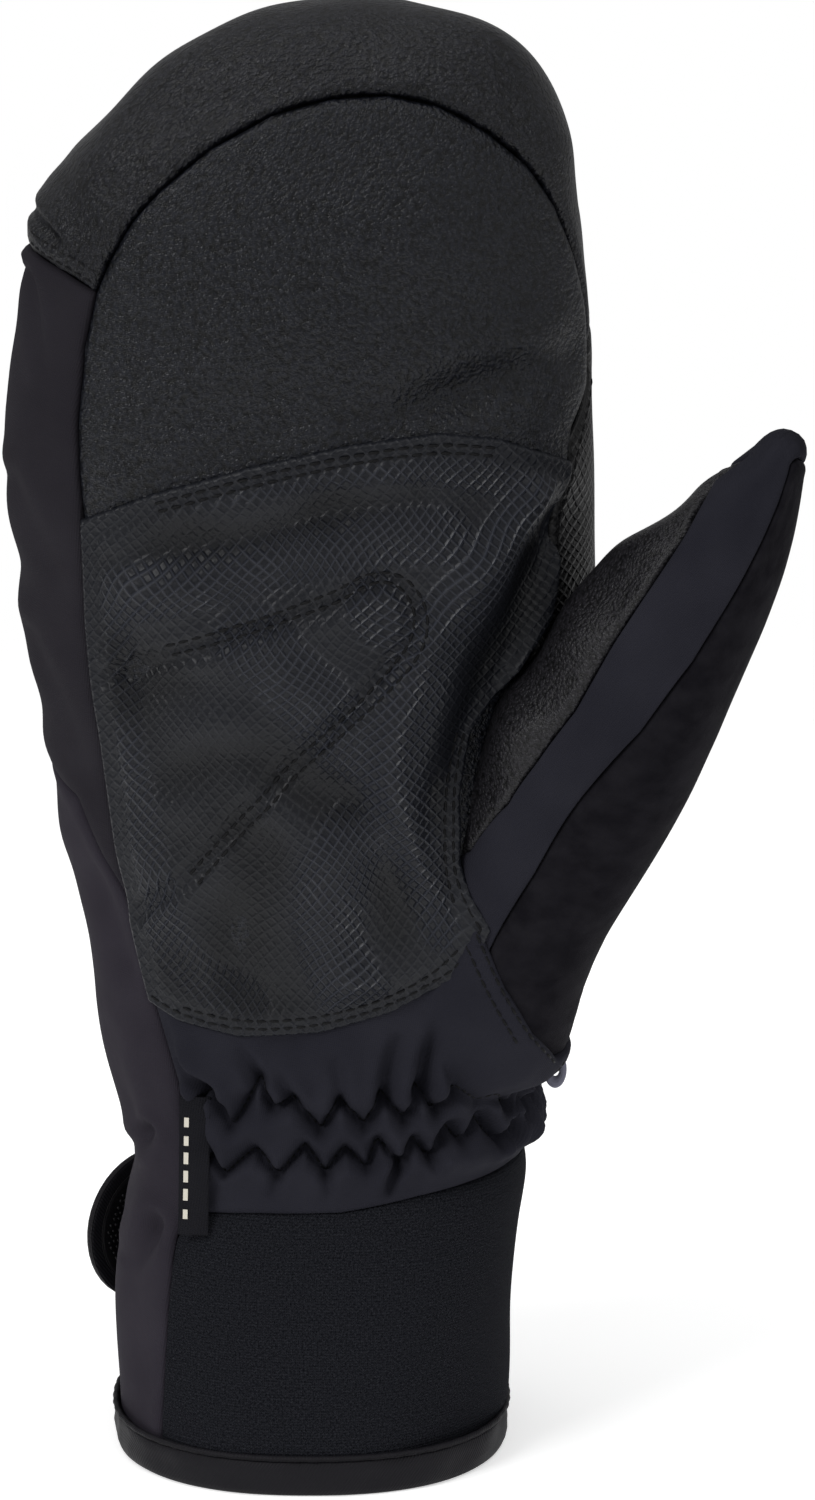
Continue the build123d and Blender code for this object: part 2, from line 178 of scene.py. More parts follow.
thumbRoot = np.array([33.9, -15.0, 96.5])
thumbTip = np.array([88.0, -38.0, 207.7])
thumbAxis = (thumbTip - thumbRoot) / np.linalg.norm(thumbTip - thumbRoot)
thumbAcross = np.cross([0, 1, 0], thumbAxis)
thumbAcross /= np.linalg.norm(thumbAcross)
thumbDeep = np.cross(thumbAxis, thumbAcross)
thumbLevels = [
    (-26, -12.0, 4.0, 12.0, 0.0), (-15, -15.0, 12.0, 14.5, 0.0), (-10, -16.5, 18.4, 16.0, 0.0),
    (-5, -17.1, 18.8, 16.8, 0.0),
    (0, -17.6, 18.0, 17.4, 0.0),
    (11, -19.0, 15.7, 17.8, 0.0), (22, -20.3, 14.6, 18.1, 0.0), (34, -22.4, 14.8, 18.4, 0.0),
    (46, -24.2, 15.0, 18.5, 0.0), (57, -23.9, 15.2, 18.3, 0.0), (69, -22.6, 14.9, 17.6, 0.0),
    (80, -20.6, 13.9, 16.6, 0.0), (91, -17.4, 12.7, 15.0, 0.0), (102, -12.9, 11.0, 12.6, 0.0),
    (110, -9.7, 9.2, 10.2, 0.0), (116, -7.0, 7.4, 8.4, 0.0), (121, -4.7, 5.6, 6.6, 0.0),
]
thumb = Form(thumbLevels, 127.2, 0.4, 0.0, soft=2.0,
             matrix=(thumbRoot, np.array([thumbAcross, thumbDeep, thumbAxis])))

# Charts. A chart lays (n, v) out flat for meshing: straight for sleeves, and round the tip for caps.


class Sleeve:
    def __init__(self, form):
        self.form = form

    def flat(self, nv):
        return np.stack([nv[..., 0] * self.form.round, nv[..., 1]], -1)

    def lift(self, p):
        return p[..., 0] / self.form.round, p[..., 1]


class Cap:
    def __init__(self, form):
        self.form = form

    def flat(self, nv):
        r = self.form.length - nv[..., 1]
        a = 2 * math.pi * nv[..., 0]
        return np.stack([r * np.sin(a), -r * np.cos(a)], -1)

    def lift(self, p):
        r = np.hypot(p[..., 0], p[..., 1])
        return np.arctan2(p[..., 0], -p[..., 1]) / (2 * math.pi), self.form.length - r


def resample(points, step, closed=True):
    pts = np.array(points, float)
    if closed:
        pts = np.vstack([pts, pts[:1]])
    lengths = stations(pts)
    count = max(3, int(round(lengths[-1] / step)))
    at = np.linspace(0, lengths[-1], count + 1)
    out = np.stack([np.interp(at, lengths, pts[:, k]) for k in range(pts.shape[1])], -1)
    return out[:-1] if closed else out


def stations(path):
    # the way along a path at each of its points
    return np.concatenate([[0], np.cumsum(np.linalg.norm(np.diff(np.array(path, float), axis=0), axis=1))])


def headings(path):
    ahead = np.gradient(np.array(path, float), axis=0)
    return ahead / np.maximum(np.linalg.norm(ahead, axis=1, keepdims=True), 1e-9)


def smoothLine(points, times=2):
    pts = np.array(points, float)
    for _ in range(times):
        cut = [pts[0]]
        for a, b in zip(pts[:-1], pts[1:]):
            cut += [a * 0.75 + b * 0.25, a * 0.25 + b * 0.75]
        cut.append(pts[-1])
        pts = np.array(cut)
    return pts


def inside(p, outline):
    x, y = p[:, 0], p[:, 1]
    hit = np.zeros(len(p), bool)
    x0, y0 = outline[:, 0], outline[:, 1]
    x1, y1 = np.roll(x0, -1), np.roll(y0, -1)
    for a, b, c, d in zip(x0, y0, x1, y1):
        if b == d:
            continue
        hit ^= ((b > y) != (d > y)) & (x < (c - a) * (y - b) / (d - b) + a)
    return hit


def nearness(p, line, closed=False):
    ends = np.roll(line, -1, axis=0) if closed else line[1:]
    starts = line if closed else line[:-1]
    lengths = np.linalg.norm(ends - starts, axis=1)
    before = np.concatenate([[0], np.cumsum(lengths)[:-1]])
    best = np.full(len(p), 1e9)
    along = np.zeros(len(p))
    for a, b, l, s in zip(starts, ends, lengths, before):
        d = b - a
        t = np.clip(((p - a) @ d) / max(l * l, 1e-12), 0, 1)
        far = np.linalg.norm(p - a - t[:, None] * d, axis=1)
        closer = far < best
        best = np.where(closer, far, best)
        along = np.where(closer, s + t * l, along)
    return best, along


def smooth(value, low, high):
    t = np.clip((value - low) / (high - low), 0, 1)
    return t * t * (3 - 2 * t)


def waves(p, scale, seed):
    # soft random swells, the same for the same seed
    r = np.random.default_rng(seed)
    out, count = np.zeros(len(p)), 14
    for _ in range(count):
        heading = r.normal(size=3)
        heading /= np.linalg.norm(heading)
        k = heading * 2 * math.pi / (scale * r.uniform(0.7, 1.5))
        out += np.sin(p @ k + r.uniform(0, 6.28))
    return out / math.sqrt(count / 2)


def addMesh(name, verts, faces, material, rounded=True):
    mesh = bpy.data.meshes.new(name)
    mesh.from_pydata([tuple(v) for v in verts], [], [tuple(f) for f in faces])
    mesh.update()
    obj = bpy.data.objects.new(name, mesh)
    bpy.context.scene.collection.objects.link(obj)
    if rounded:
        mesh.polygons.foreach_set("use_smooth", [True] * len(mesh.polygons))
    mesh.materials.append(material)
    return obj


def mapCloth(obj, spread):
    # the cloth's own map: one place in millimetres for each vertex
    layer = obj.data.uv_layers.new(name="Cut")
    loops = np.zeros(len(obj.data.loops), int)
    obj.data.loops.foreach_get("vertex_index", loops)
    layer.data.foreach_set("uv", (np.asarray(spread, float) * mm)[loops].ravel())


def tubeFaces(base, count, rows, flip=False):
    # quads between rings of vertices that follow each other
    faces = []
    for j in range(rows):
        for i in range(count):
            a, b = base + j * count + i, base + j * count + (i + 1) % count
            faces.append((a + count, b + count, b, a) if flip else (a, b, b + count, a + count))
    return faces


def flatMesh(outline, step, rings=(0.35, 0.8, 1.5)):
    edge = resample(outline, step * 0.8)
    area = 0.5 * np.sum(edge[:, 0] * np.roll(edge[:, 1], -1) - np.roll(edge[:, 0], -1) * edge[:, 1])
    if area < 0:
        edge = edge[::-1]
    ahead = np.roll(edge, -1, axis=0) - np.roll(edge, 1, axis=0)
    inward = np.stack([-ahead[:, 1], ahead[:, 0]], -1) / np.linalg.norm(ahead, axis=1, keepdims=True)
    low, high = edge.min(0), edge.max(0)
    extra = []
    for depth in rings:
        ring = edge + inward * depth
        far, _ = nearness(ring, edge, True)
        extra.append(ring[inside(ring, edge) & (far > depth * 0.9)])
    rows = np.arange(low[1], high[1], step * 0.866)
    grid = []
    for i, y in enumerate(rows):
        x = np.arange(low[0] + (i % 2) * step / 2, high[0], step)
        grid.append(np.stack([x, np.full(len(x), y)], -1))
    grid = np.concatenate(grid)
    grid = grid[inside(grid, edge)]
    far, _ = nearness(grid, edge, True)
    grid = grid[far > rings[-1] + step * 0.55]
    points = np.concatenate([edge] + extra + [grid])
    ids = [(i, (i + 1) % len(edge)) for i in range(len(edge))]
    coords, _, faces, *_ = geometry.delaunay_2d_cdt([Vector(p) for p in points], ids, [], 1, 1e-6)
    coords = np.array([tuple(c) for c in coords])
    tris = np.array([f for f in faces if len(f) == 3])
    a, b, c = coords[tris[:, 0]], coords[tris[:, 1]], coords[tris[:, 2]]
    cross = (b[:, 0] - a[:, 0]) * (c[:, 1] - a[:, 1]) - (b[:, 1] - a[:, 1]) * (c[:, 0] - a[:, 0])
    tris[cross < 0] = tris[cross < 0][:, ::-1]
    tris = tris[np.abs(cross) > 1e-9]
    return coords, tris, edge


def closeSheet(top, bottom, tris):
    count = len(top)
    edges = {}
    for t in tris:
        for a, b in ((t[0], t[1]), (t[1], t[2]), (t[2], t[0])):
            edges[(a, b)] = True
    rim = [(a, b) for a, b in edges if (b, a) not in edges]
    faces = [tuple(t) for t in tris] + [tuple(t[::-1] + count) for t in tris]
    faces += [(b, a, a + count, b + count) for a, b in rim]
    return np.concatenate([top, bottom]), faces


def pushOut(p, out, form, clear):
    # how far each point has to move along out to clear a form
    need = np.zeros(len(p))
    reach, steps = 13.0, 26
    for step in np.linspace(reach, 0, steps + 1):
        hit = (form.level(p + out * step, clear) < 1) & (need == 0)
        need = np.where(hit, step + reach / steps / 2, need)
    return need


def soften(value, tris, times):
    links = np.concatenate([tris[:, [0, 1]], tris[:, [1, 2]], tris[:, [2, 0]]])
    both = np.concatenate([links, links[:, ::-1]])
    count = np.bincount(both[:, 0], minlength=len(value))
    for _ in range(times):
        total = np.bincount(both[:, 0], weights=value[both[:, 1]], minlength=len(value))
        value = np.where(count > 0, (value + total) / (count + 1), value)
    return value


def rolled(far, depth, width):
    # how far an edge rolls down, by the distance from it
    return depth * (1 - np.sqrt(np.clip(1 - np.clip(1 - far / width, 0, 1) ** 2, 0, 1)))


def panel(name, chart, outline, material, step=1.3, roll=1.6, rollWidth=2.6, lift=0.0, thick=1.2,
          shape=None, over=None, marks=None):
    # a cut of fabric on a form: its edges roll down into the seams, and shape(n, v, p, edge) moves it out
    form = chart.form
    line = chart.flat(np.array(outline, float))
    coords, tris, edge = flatMesh(line, step)
    n, v = chart.lift(coords)
    far, _ = nearness(coords, edge, True)
    p = form.point(n, v)
    out = form.normal(n, v)
    move = lift - rolled(far, roll, rollWidth)
    calm = 1.0
    if over is not None:
        other, clear, times, most = over
        need = soften(np.minimum(pushOut(p, out, other, clear), most(p)), tris, times)
        move = move + need
        calm = 1 - 0.9 * smooth(need, 0.2, 2.0)
    if shape:
        move = move + calm * shape(n, v, p, far)
    top = p + out * move[:, None]
    if isinstance(chart, Cap):
        flips = np.cross(top[tris[:, 1]] - top[tris[:, 0]], top[tris[:, 2]] - top[tris[:, 0]])
        if np.sum(flips * out[tris[:, 0]]) < 0:
            tris = tris[:, ::-1]
    verts, faces = closeSheet(top, top - out * thick, tris)
    obj = addMesh(name, verts * mm, faces, material)
    spread = np.stack([n * form.round, v], -1)
    if isinstance(chart, Cap) and form is hand:
        spread = coords
    mapCloth(obj, np.concatenate([spread, spread]))
    for key, value in (marks(n, v, p, far) if marks else {}).items():
        attribute = obj.data.attributes.new(key, "FLOAT", "POINT")
        attribute.data.foreach_set("value", np.concatenate([value, value]).astype(np.float32))
    return obj


def seam(points):
    # chart places on the hand of points (x, height) on the palm side
    return [hand.at(x, z) for x, z in points]


def onHand(n, z):
    return n, float(hand.up(z))


def onFront(points):
    # model points (x, z) on the palm side, as chart millimetres
    return sleeve.flat(np.array(seam(points), float))


def awayFrom(p, points):
    # distance of each point from a smooth line of (x, height), and the way along it
    return nearness(p[:, [0, 2]], smoothLine(points))


def spot(p, x, z, wide, high, turn=0.0):
    c, s = math.cos(math.radians(turn)), math.sin(math.radians(turn))
    dx, dz = p[:, 0] - x, p[:, 2] - z
    return np.exp(-((dx * c + dz * s) / wide) ** 2 - ((dz * c - dx * s) / high) ** 2)


# Materials. Cloth coordinates are the "Cut" map, in metres along the cloth.


def settings(node, values):
    for key, value in values.items():
        node.inputs[key].default_value = value


class Nodes:
    def __init__(self, name, colour, rough, spec, sheen=0.0, sheenRough=0.4):
        self.mat = bpy.data.materials.new(name)
        self.mat.use_nodes = True
        self.tree = self.mat.node_tree
        self.bsdf = self.tree.nodes["Principled BSDF"]
        settings(self.bsdf, {"Base Color": (*colour, 1), "Roughness": rough, "Specular IOR Level": spec,
                             "Sheen Weight": sheen, "Sheen Roughness": sheenRough})
        self.normal = None

    def add(self, kind, **values):
        node = self.tree.nodes.new(kind)
        for key, value in values.items():
            if key in node.inputs:
                node.inputs[key].default_value = value
            else:
                setattr(node, key, value)
        return node

    def link(self, a, b):
        self.tree.links.new(a, b)

    def scaled(self, at, turn=0.0):
        # a place in millimetres
        place = self.add("ShaderNodeMapping")
        settings(place, {"Scale": (1 / mm, 1 / mm, 1 / mm), "Rotation": (0, 0, math.radians(turn))})
        self.link(at, place.inputs["Vector"])
        return place.outputs[0]

    def cut(self, turn=0.0):
        # the cloth's own map
        return self.scaled(self.add("ShaderNodeUVMap", uv_map="Cut").outputs[0], turn)

    def body(self):
        # the place in the model
        return self.scaled(self.add("ShaderNodeTexCoord").outputs["Object"])

    def math(self, kind, a, b=None, clamp=False):
        node = self.add("ShaderNodeMath", operation=kind, use_clamp=clamp)
        for i, value in enumerate((a, b)):
            if value is None:
                continue
            if hasattr(value, "is_output"):
                self.link(value, node.inputs[i])
            else:
                node.inputs[i].default_value = value
        return node.outputs[0]

    def times(self, a, b):
        return self.math("MULTIPLY", a, b)

    def plus(self, a, b):
        return self.math("ADD", a, b)

    def minus(self, a, b, clamp=False):
        return self.math("SUBTRACT", a, b, clamp)

    def noise(self, vector, scale, detail=3.0, rough=0.5):
        node = self.add("ShaderNodeTexNoise", Scale=scale, Detail=detail, Roughness=rough)
        self.link(vector, node.inputs["Vector"])
        return node.outputs[0]

    def cells(self, vector, scale, feature="F1"):
        node = self.add("ShaderNodeTexVoronoi", Scale=scale, feature=feature)
        self.link(vector, node.inputs["Vector"])
        return node.outputs["Distance"]

    def emboss(self, height, distance):
        # distance is the height in millimetres that 1 stands for
        node = self.add("ShaderNodeBump", Strength=1.0, Distance=distance * mm)
        self.link(height, node.inputs["Height"])
        if self.normal is not None:
            self.link(self.normal, node.inputs["Normal"])
        self.normal = node.outputs[0]
        self.link(self.normal, self.bsdf.inputs["Normal"])

    def shade(self, factor, dark, light, low=0.3, high=0.7):
        # colour between dark and light by a factor
        ramp = self.add("ShaderNodeValToRGB")
        for stop, position, colour in zip(ramp.color_ramp.elements, (low, high), (dark, light)):
            stop.position = position
            stop.color = (*colour, 1)
        self.link(factor, ramp.inputs[0])
        self.link(ramp.outputs[0], self.bsdf.inputs["Base Color"])

    def paintShade(self, share):
        # the base colour, multiplied: paints shade into it
        colour = self.bsdf.inputs["Base Color"].links[0].from_socket
        node = self.add("ShaderNodeVectorMath", operation="SCALE")
        self.link(colour, node.inputs[0])
        self.link(share, node.inputs["Scale"])
        self.link(node.outputs[0], self.bsdf.inputs["Base Color"])

    def gloss(self, factor, low, high):
        node = self.add("ShaderNodeMapRange")
        settings(node, {"To Min": low, "To Max": high})
        self.link(factor, node.inputs["Value"])
        self.link(node.outputs[0], self.bsdf.inputs["Roughness"])

    def attribute(self, name):
        return self.add("ShaderNodeAttribute", attribute_name=name).outputs["Fac"]


def tone(colour, change=0.0, share=1.0):
    # linear colour of a display colour, 0-255, made lighter or darker
    out = []
    for value in colour:
        c = min(max(value * share + change, 0), 255) / 255
        out.append(c / 12.92 if c <= 0.04045 else ((c + 0.055) / 1.055) ** 2.4)
    return tuple(out)


def pebbled(name, level, rough, spec, grain=0.75, height=0.12):
    m = Nodes(name, tone(level), rough, spec)
    at = m.cut()
    pebble = m.cells(at, 1 / grain, "SMOOTH_F1")
    fine = m.cells(at, 2.1 / grain, "F1")
    m.emboss(m.noise(at, 0.3, 4), 0.16)
    m.emboss(m.minus(1.0, pebble), height * 3.2)
    m.emboss(fine, height)
    # painted shade and highlight: the grain's colour is darker in the valleys between the pebbles and lighter
    # on their tops
    m.shade(pebble, tone(level, 11), tone(level, 0, 0.28), 0.15, 0.7)
    m.gloss(m.noise(at, 0.12, 2), rough - 0.07, rough + 0.09)
    return m


def gripping(name, level):
    # leather pressed with a net of small squares, in bands that the mark "band" sets; the net lines are
    # coloured lighter than the squares, most in the bands, partly the net's own tone and partly painted
    # highlight, and the mark "deep" adds painted shade
    m = Nodes(name, tone(level), 0.38, 0.24)
    at = m.cut()
    drift = m.add("ShaderNodeTexNoise", Scale=0.045, Detail=1.0)
    m.link(at, drift.inputs["Vector"])
    sway = m.add("ShaderNodeVectorMath", operation="MULTIPLY_ADD")
    m.link(drift.outputs["Color"], sway.inputs[0])
    sway.inputs[1].default_value = (7.0, 7.0, 0)
    m.link(at, sway.inputs[2])
    parts = m.add("ShaderNodeSeparateXYZ")
    m.link(sway.outputs[0], parts.inputs[0])
    x, y = parts.outputs[0], parts.outputs[1]
    pitch, stretch, slope = 1.6, (1.08, 0.92), 0.7071
    lines = []
    for way in ("ADD", "SUBTRACT"):
        mixed = m.math(way, m.times(x, stretch[0]), m.times(y, stretch[1]))
        run = m.times(mixed, slope / pitch)
        near = m.math("ABSOLUTE", m.minus(m.math("FRACT", run), 0.5))
        lines.append(m.minus(1.0, m.times(near, 4.2), clamp=True))
    net = m.math("MAXIMUM", *lines)
    band = m.attribute("band")
    pressed = m.times(net, m.plus(m.times(band, 0.72), 0.2))
    m.emboss(m.noise(at, 0.3, 4), 0.25)
    m.emboss(m.minus(1.0, m.cells(at, 1.3, "SMOOTH_F1")), 0.12)
    m.emboss(pressed, 0.6)
    # partly the net's own tone, partly painted highlight: net lines lighter than the squares, most in the
    # bands along the lit ridges
    m.shade(pressed, tone(level, 0, 0.74), tone(level, 26), 0.08, 0.85)
    # painted shade: the mark "deep" darkens the colour in the valleys of the relief and in the hollow beside
    # the thumb
    m.paintShade(m.minus(1.2, m.times(m.attribute("deep"), 0.8)))
    m.gloss(pressed, 0.46, 0.3)
    return m


def woven(name, level, pitch=0.42, height=0.035):
    # smooth-faced stretch cloth: a fine weave and a soft bloom
    m = Nodes(name, tone(level), 0.85, 0.07, 0.0, 0.5)
    at = m.cut()
    for turn, share in ((0, 1.0), (90, 0.8)):
        wave = m.add("ShaderNodeTexWave", bands_direction="X", Scale=0.314 / pitch, Distortion=0.6,
                     Detail=1.0)
        m.link(m.cut(turn=turn + 8), wave.inputs["Vector"])
        m.emboss(wave.outputs["Fac"], height * share)
    m.emboss(m.noise(at, 0.22, 3), 0.22)
    m.shade(m.noise(at, 0.06, 2), tone(level, -3), tone(level, 3))
    return m


def knitted(name, level):
    m = Nodes(name, tone(level), 0.92, 0.04)
    pitch, height, turn = 0.8, 0.09, 6.2832
    at = m.cut()
    parts = m.add("ShaderNodeSeparateXYZ")
    m.link(at, parts.inputs[0])
    across = m.times(parts.outputs[0], 1 / pitch)
    side = m.math("ABSOLUTE", m.minus(m.math("FRACT", across), 0.5))
    climb = m.plus(m.times(parts.outputs[1], 1.5 / pitch), m.times(side, 1.1))
    loop = m.math("SINE", m.times(climb, turn))
    rib = m.math("SINE", m.times(side, turn))
    stitch = m.times(m.plus(loop, 1.6), rib)
    m.emboss(stitch, height)
    fuzz = m.noise(at, 2.2, 4, 0.7)
    m.emboss(fuzz, 0.14)
    m.shade(fuzz, tone(level, -10), tone(level, 24), 0.35, 0.75)
    return m


def napped(name, level, sheen=0.25):
    m = Nodes(name, tone(level), 0.95, 0.03, sheen, 0.35)
    at = m.cut()
    m.emboss(m.noise(at, 2.6, 5, 0.75), 0.16)
    m.emboss(m.noise(at, 0.25, 3), 0.4)
    m.shade(m.noise(at, 0.16, 4, 0.6), tone(level, -4), tone(level, 6), 0.35, 0.65)
    return m


def twilled(name, level):
    m = Nodes(name, tone(level), 0.55, 0.12)
    wave = m.add("ShaderNodeTexWave", bands_direction="X", Scale=0.55, Distortion=0.3)
    m.link(m.cut(turn=38), wave.inputs["Vector"])
    m.emboss(wave.outputs["Fac"], 0.06)
    m.emboss(m.noise(m.cut(), 0.2, 3), 0.3)
    return m


def plain(name, level, rough=0.8, spec=0.2):
    m = Nodes(name, tone(level), rough, spec)
    m.emboss(m.noise(m.body(), 1.6, 3), 0.08)
    return m


leather = pebbled("Leather", (12, 14, 21), 0.36, 0.25)
tipLeather = pebbled("TipLeather", (14, 15, 21), 0.35, 0.25, 0.8, 0.13)
thumbLeather = pebbled("ThumbLeather", (23, 22, 26), 0.4, 0.27, 0.55, 0.08)
gripLeather = gripping("GripLeather", (20, 22, 29))
# painted shade: a much darker copy of the grip leather for the index strip on the shaded side
shadedGripLeather = gripping("GripLeatherShaded", (8, 8, 10))
softshell = woven("Softshell", (34, 34, 41))
softshellWarm = woven("SoftshellWarm", (37, 35, 40))
# painted light: a lighter copy of the softshell for the side panel on the lit side
softshellLit = woven("SoftshellLit", (42, 39, 46))
knit = knitted("Knit", (22, 23, 28))
suede = napped("Suede", (23, 22, 26), 0.03)
bindingCloth = twilled("Binding", (22, 21, 25))
webbing = twilled("Webbing", (22, 20, 24))
threadDark = plain("Thread", (11, 11, 13), 0.6, 0.15)
webThread = plain("WebThread", (38, 37, 42), 0.6, 0.2)
hookBlack = plain("HookNylon", (14, 13, 15), 0.35, 0.3)
loopPile = napped("LoopPile", (24, 23, 27), 0.1)
labelCloth = woven("LabelCloth", (24, 24, 28), pitch=0.5, height=0.08)
labelThread = plain("LabelThread", (205, 200, 188), 0.8, 0.1)
# painted highlight: the seam-end nub is coloured light grey for the light it catches
nubHighlight = plain("NubPaintedHighlight", (104, 104, 118), 0.7, 0.1)
padding = plain("Padding", (120, 120, 120), 0.95, 0.05)
film = plain("Membrane", (150, 152, 146), 0.5, 0.2)
fleece = napped("Fleece", (42, 42, 46), 0.1)
elasticWeb = knitted("Elastic", (40, 40, 42))
print("materials made")

# Hand panels. Seams are listed as (x, height) on the palm side.
fingerSeam = [(-42, 191.5), (-42.7, 205), (-42.4, 214.5), (-41.5, 224), (-39, 234.5), (-34, 245),
              (-26.5, 254.5), (-17.5, 262), (-6.5, 268), (4.5, 271), (15, 271.5), (24, 269.5), (33, 264.5),
              (40.5, 258), (46, 249.5), (49.5, 240), (51.6, 229.5), (52, 221.5)]
patchTop = [(-42, 191.5), (-29, 197.5), (-10.5, 203.3), (8, 207.5), (24, 209.3), (35, 207.5), (48.4, 201)]
patchRight = [(48.4, 201), (47.8, 182), (45.8, 171), (39.2, 160.4), (31.8, 149.6), (28.5, 138), (28.1, 126),
              (29.4, 119), (31.2, 114.6)]
patchFoot = [(31.2, 114.6), (29.4, 108.6), (25.2, 101.6), (15, 96.2), (1.8, 92.3), (-13.3, 91.1),
             (-24.8, 93.3), (-30.5, 96.4)]
patchLeft = [(-30.5, 96.4), (-34, 112.5), (-36, 124.7), (-39, 148.5), (-41.5, 172), (-42, 191.5)]
sideSeam = [(-32.5, 105), (-29.6, 95), (-25, 78), (-23.2, 60.7), (-26.2, 48.6), (-28.3, 30.2), (-29.5, 9.6),
            (-29.6, 2)]
cuffTop = [(-23.6, 54.4), (-9.8, 55.6), (5.5, 56), (20.7, 58.4), (30.2, 59.4), (38.4, 60.2)]
indexEdge = [(51.9, 221.5), (52.3, 215.4), (48.4, 205), (47, 182.3), (45.4, 167), (39, 150), (36, 125)]
bandTurn = 0.345
sleeve, cap = Sleeve(hand), Cap(hand)


def sideLine(z0, z1, n, steps=14):
    return [onHand(n, z0 + (z1 - z0) * i / steps) for i in range(steps + 1)]


def pathLength(path):
    return float(np.sum(np.linalg.norm(np.diff(path, axis=0), axis=1)))


def creases(p, lines):
    # grooves: each is (points, depth, width); the depth fades towards the line's end
    out = np.zeros(len(p))
    for points, depth, width in lines:
        far, along = awayFrom(p, points)
        total = pathLength(smoothLine(points))
        fade = np.clip(1 - along / total, 0, 1) ** 0.6
        beside = np.exp(-((far - width * 1.9) / (width * 1.2)) ** 2)
        out = out - depth * fade * (np.exp(-(far / width) ** 2) - 0.45 * beside)
    return out


fingerLeather = {"lift": 0.0, "roll": 1.9, "rollWidth": 2.8}


def fingerShape(n, v, p, far):
    soft = smooth(far, 1, 9)
    dent = 4.2 * spot(p, 33, 217, 17, 5.2, 14) + 0.7 * spot(p, -22, 214, 16, 9, -15)
    fold = creases(p, [([(44, 212), (36, 222), (30, 236)], 0.5, 3.0),
                       ([(-34, 205), (-22, 213), (-8, 217)], 0.45, 3.2)])
    return soft * (0.35 * waves(p, 26, 3) - dent) + fold * soft


underPatch = [(x, z - 4) for x, z in patchTop[::-1]]
fingerPanel = panel("finger_leather", sleeve, seam(fingerSeam + [(52, 214), (49.5, 207)] + underPatch),
                    leather.mat, shape=fingerShape, step=1.1, **fingerLeather)

tipWrap = {"roll": 1.7, "rollWidth": 2.6, "tuckDepth": 1.6}


def wrapShape(n, v, p, far):
    front = smooth(-p[:, 1], 8, 18)
    tuck = creases(p, [([(-46, 243.5), (-49, 246), (-52.5, 249)], tipWrap["tuckDepth"], 1.1),
                       ([(-41, 248), (-44, 253), (-46, 259)], 0.5, 2.4)])
    return smooth(far, 0.5, 6) * 0.3 * waves(p, 22, 5) + front * tuck


wrapLeft = seam([(-39, 234.5), (-46, 238), (-51, 240)])
backSeam = {"pinky": 240.0, "index": 231.0}


def backSeamAt(n):
    # height of the wrap's seam across the back, for n from the index side (0.345) to the pinky side (0.655)
    return backSeam["index"] + (backSeam["pinky"] - backSeam["index"]) * (n - bandTurn) / (1 - 2 * bandTurn)


wrapBack = [onHand(-0.27, 240), onHand(-0.31, 240)]
wrapBack += [onHand(n if n <= 0.5 else n - 1, backSeamAt(n)) for n in np.linspace(1 - bandTurn, bandTurn, 13)]
wrapBack += [onHand(0.3, 228), onHand(0.26, 225)]
wrap = panel("fingertip_wrap_leather", cap,
             wrapLeft + wrapBack + seam([(52, 221.5)]) + seam(fingerSeam[5:-1][::-1]),
             tipLeather.mat, shape=wrapShape, step=1.2, roll=tipWrap["roll"], rollWidth=tipWrap["rollWidth"])

gussetFoot = seam([(-34, 114.2), (-39.7, 124), (-44.4, 135)])
pinkyGusset = {"roll": 1.3, "creaseDepth": 0.8}


def gussetShape(n, v, p, far):
    line = creases(p, [([(-52, 236), (-49.8, 226), (-47.9, 216)], pinkyGusset["creaseDepth"], 1.2),
                       ([(-55, 196), (-50, 188), (-47, 176)], 0.55, 2.2),
                       ([(-53, 166), (-48, 158), (-44, 143)], 0.6, 2.4)])
    return smooth(far, 0.5, 7) * 0.5 * waves(p, 24, 8) + 1.6 * smooth(-p[:, 1], 6, 14) * line


gusset = panel("pinky_gusset_softshell", sleeve, seam(fingerSeam[:5]) + seam([(-46, 238), (-51, 240)])
               + [onHand(-0.27, 240)] + sideLine(239, 150, -bandTurn) + [onHand(-0.27, 142)]
               + gussetFoot[::-1] + seam(patchLeft[2:-1]), softshellWarm.mat, roll=pinkyGusset["roll"],
               shape=gussetShape)

sidePanel = {"roll": 1.2, "creases": [([(-31.3, 68.5), (-33.5, 64), (-35.8, 60)], 1.0, 1.3),
                                      ([(-29.6, 51), (-33, 44.5), (-37.6, 38.5)], 1.1, 1.5),
                                      ([(-30.6, 49), (-34, 41), (-36, 34)], 0.6, 1.8),
                                      ([(-33, 66.5), (-36.8, 73), (-39.5, 90)], 0.7, 2.2),
                                      ([(-35, 102), (-38, 112), (-43, 122)], 0.5, 2.6)]}


def sideShape(n, v, p, far):
    line = 1.8 * creases(p, sidePanel["creases"]) * smooth(-p[:, 1], 0, 8)
    return smooth(far, 0.5, 6) * 0.45 * waves(p, 26, 11) + line


# the side panel wears the lighter, painted-light copy of the softshell
side = panel("side_softshell", sleeve, gussetFoot + [onHand(-0.27, 142)] + sideLine(150, 2, -bandTurn, 30)
             + seam(sideSeam)[::-1], softshellLit.mat, roll=sidePanel["roll"], shape=sideShape)


class BackSleeve(Sleeve):
    def flat(self, nv):
        n = np.where(nv[..., 0] < 0, nv[..., 0] + 1, nv[..., 0])
        return np.stack([n * self.form.round, nv[..., 1]], -1)


backSleeve = BackSleeve(hand)
backSeamTop = [onHand(float(n), backSeamAt(n)) for n in np.linspace(1 - bandTurn, bandTurn, 13)]
backPanel = {"roll": 1.4, "pleats": 0.9, "pleatPitch": 6.0}


def backShape(n, v, p, far):
    gather = np.exp(-((p[:, 2] - 69) / 9.0) ** 2)
    pleat = np.sin(2 * math.pi * (p[:, 0] + 0.9 * waves(p, 20, 15)) / backPanel["pleatPitch"])
    return smooth(far, 0.5, 7) * (0.5 * waves(p, 34, 12) + backPanel["pleats"] * gather * pleat)


back = panel("back_softshell", backSleeve, backSeamTop + sideLine(230, 57, bandTurn, 30)
             + sideLine(57, 238, 1 - bandTurn, 30), softshell.mat, shape=backShape, roll=backPanel["roll"])


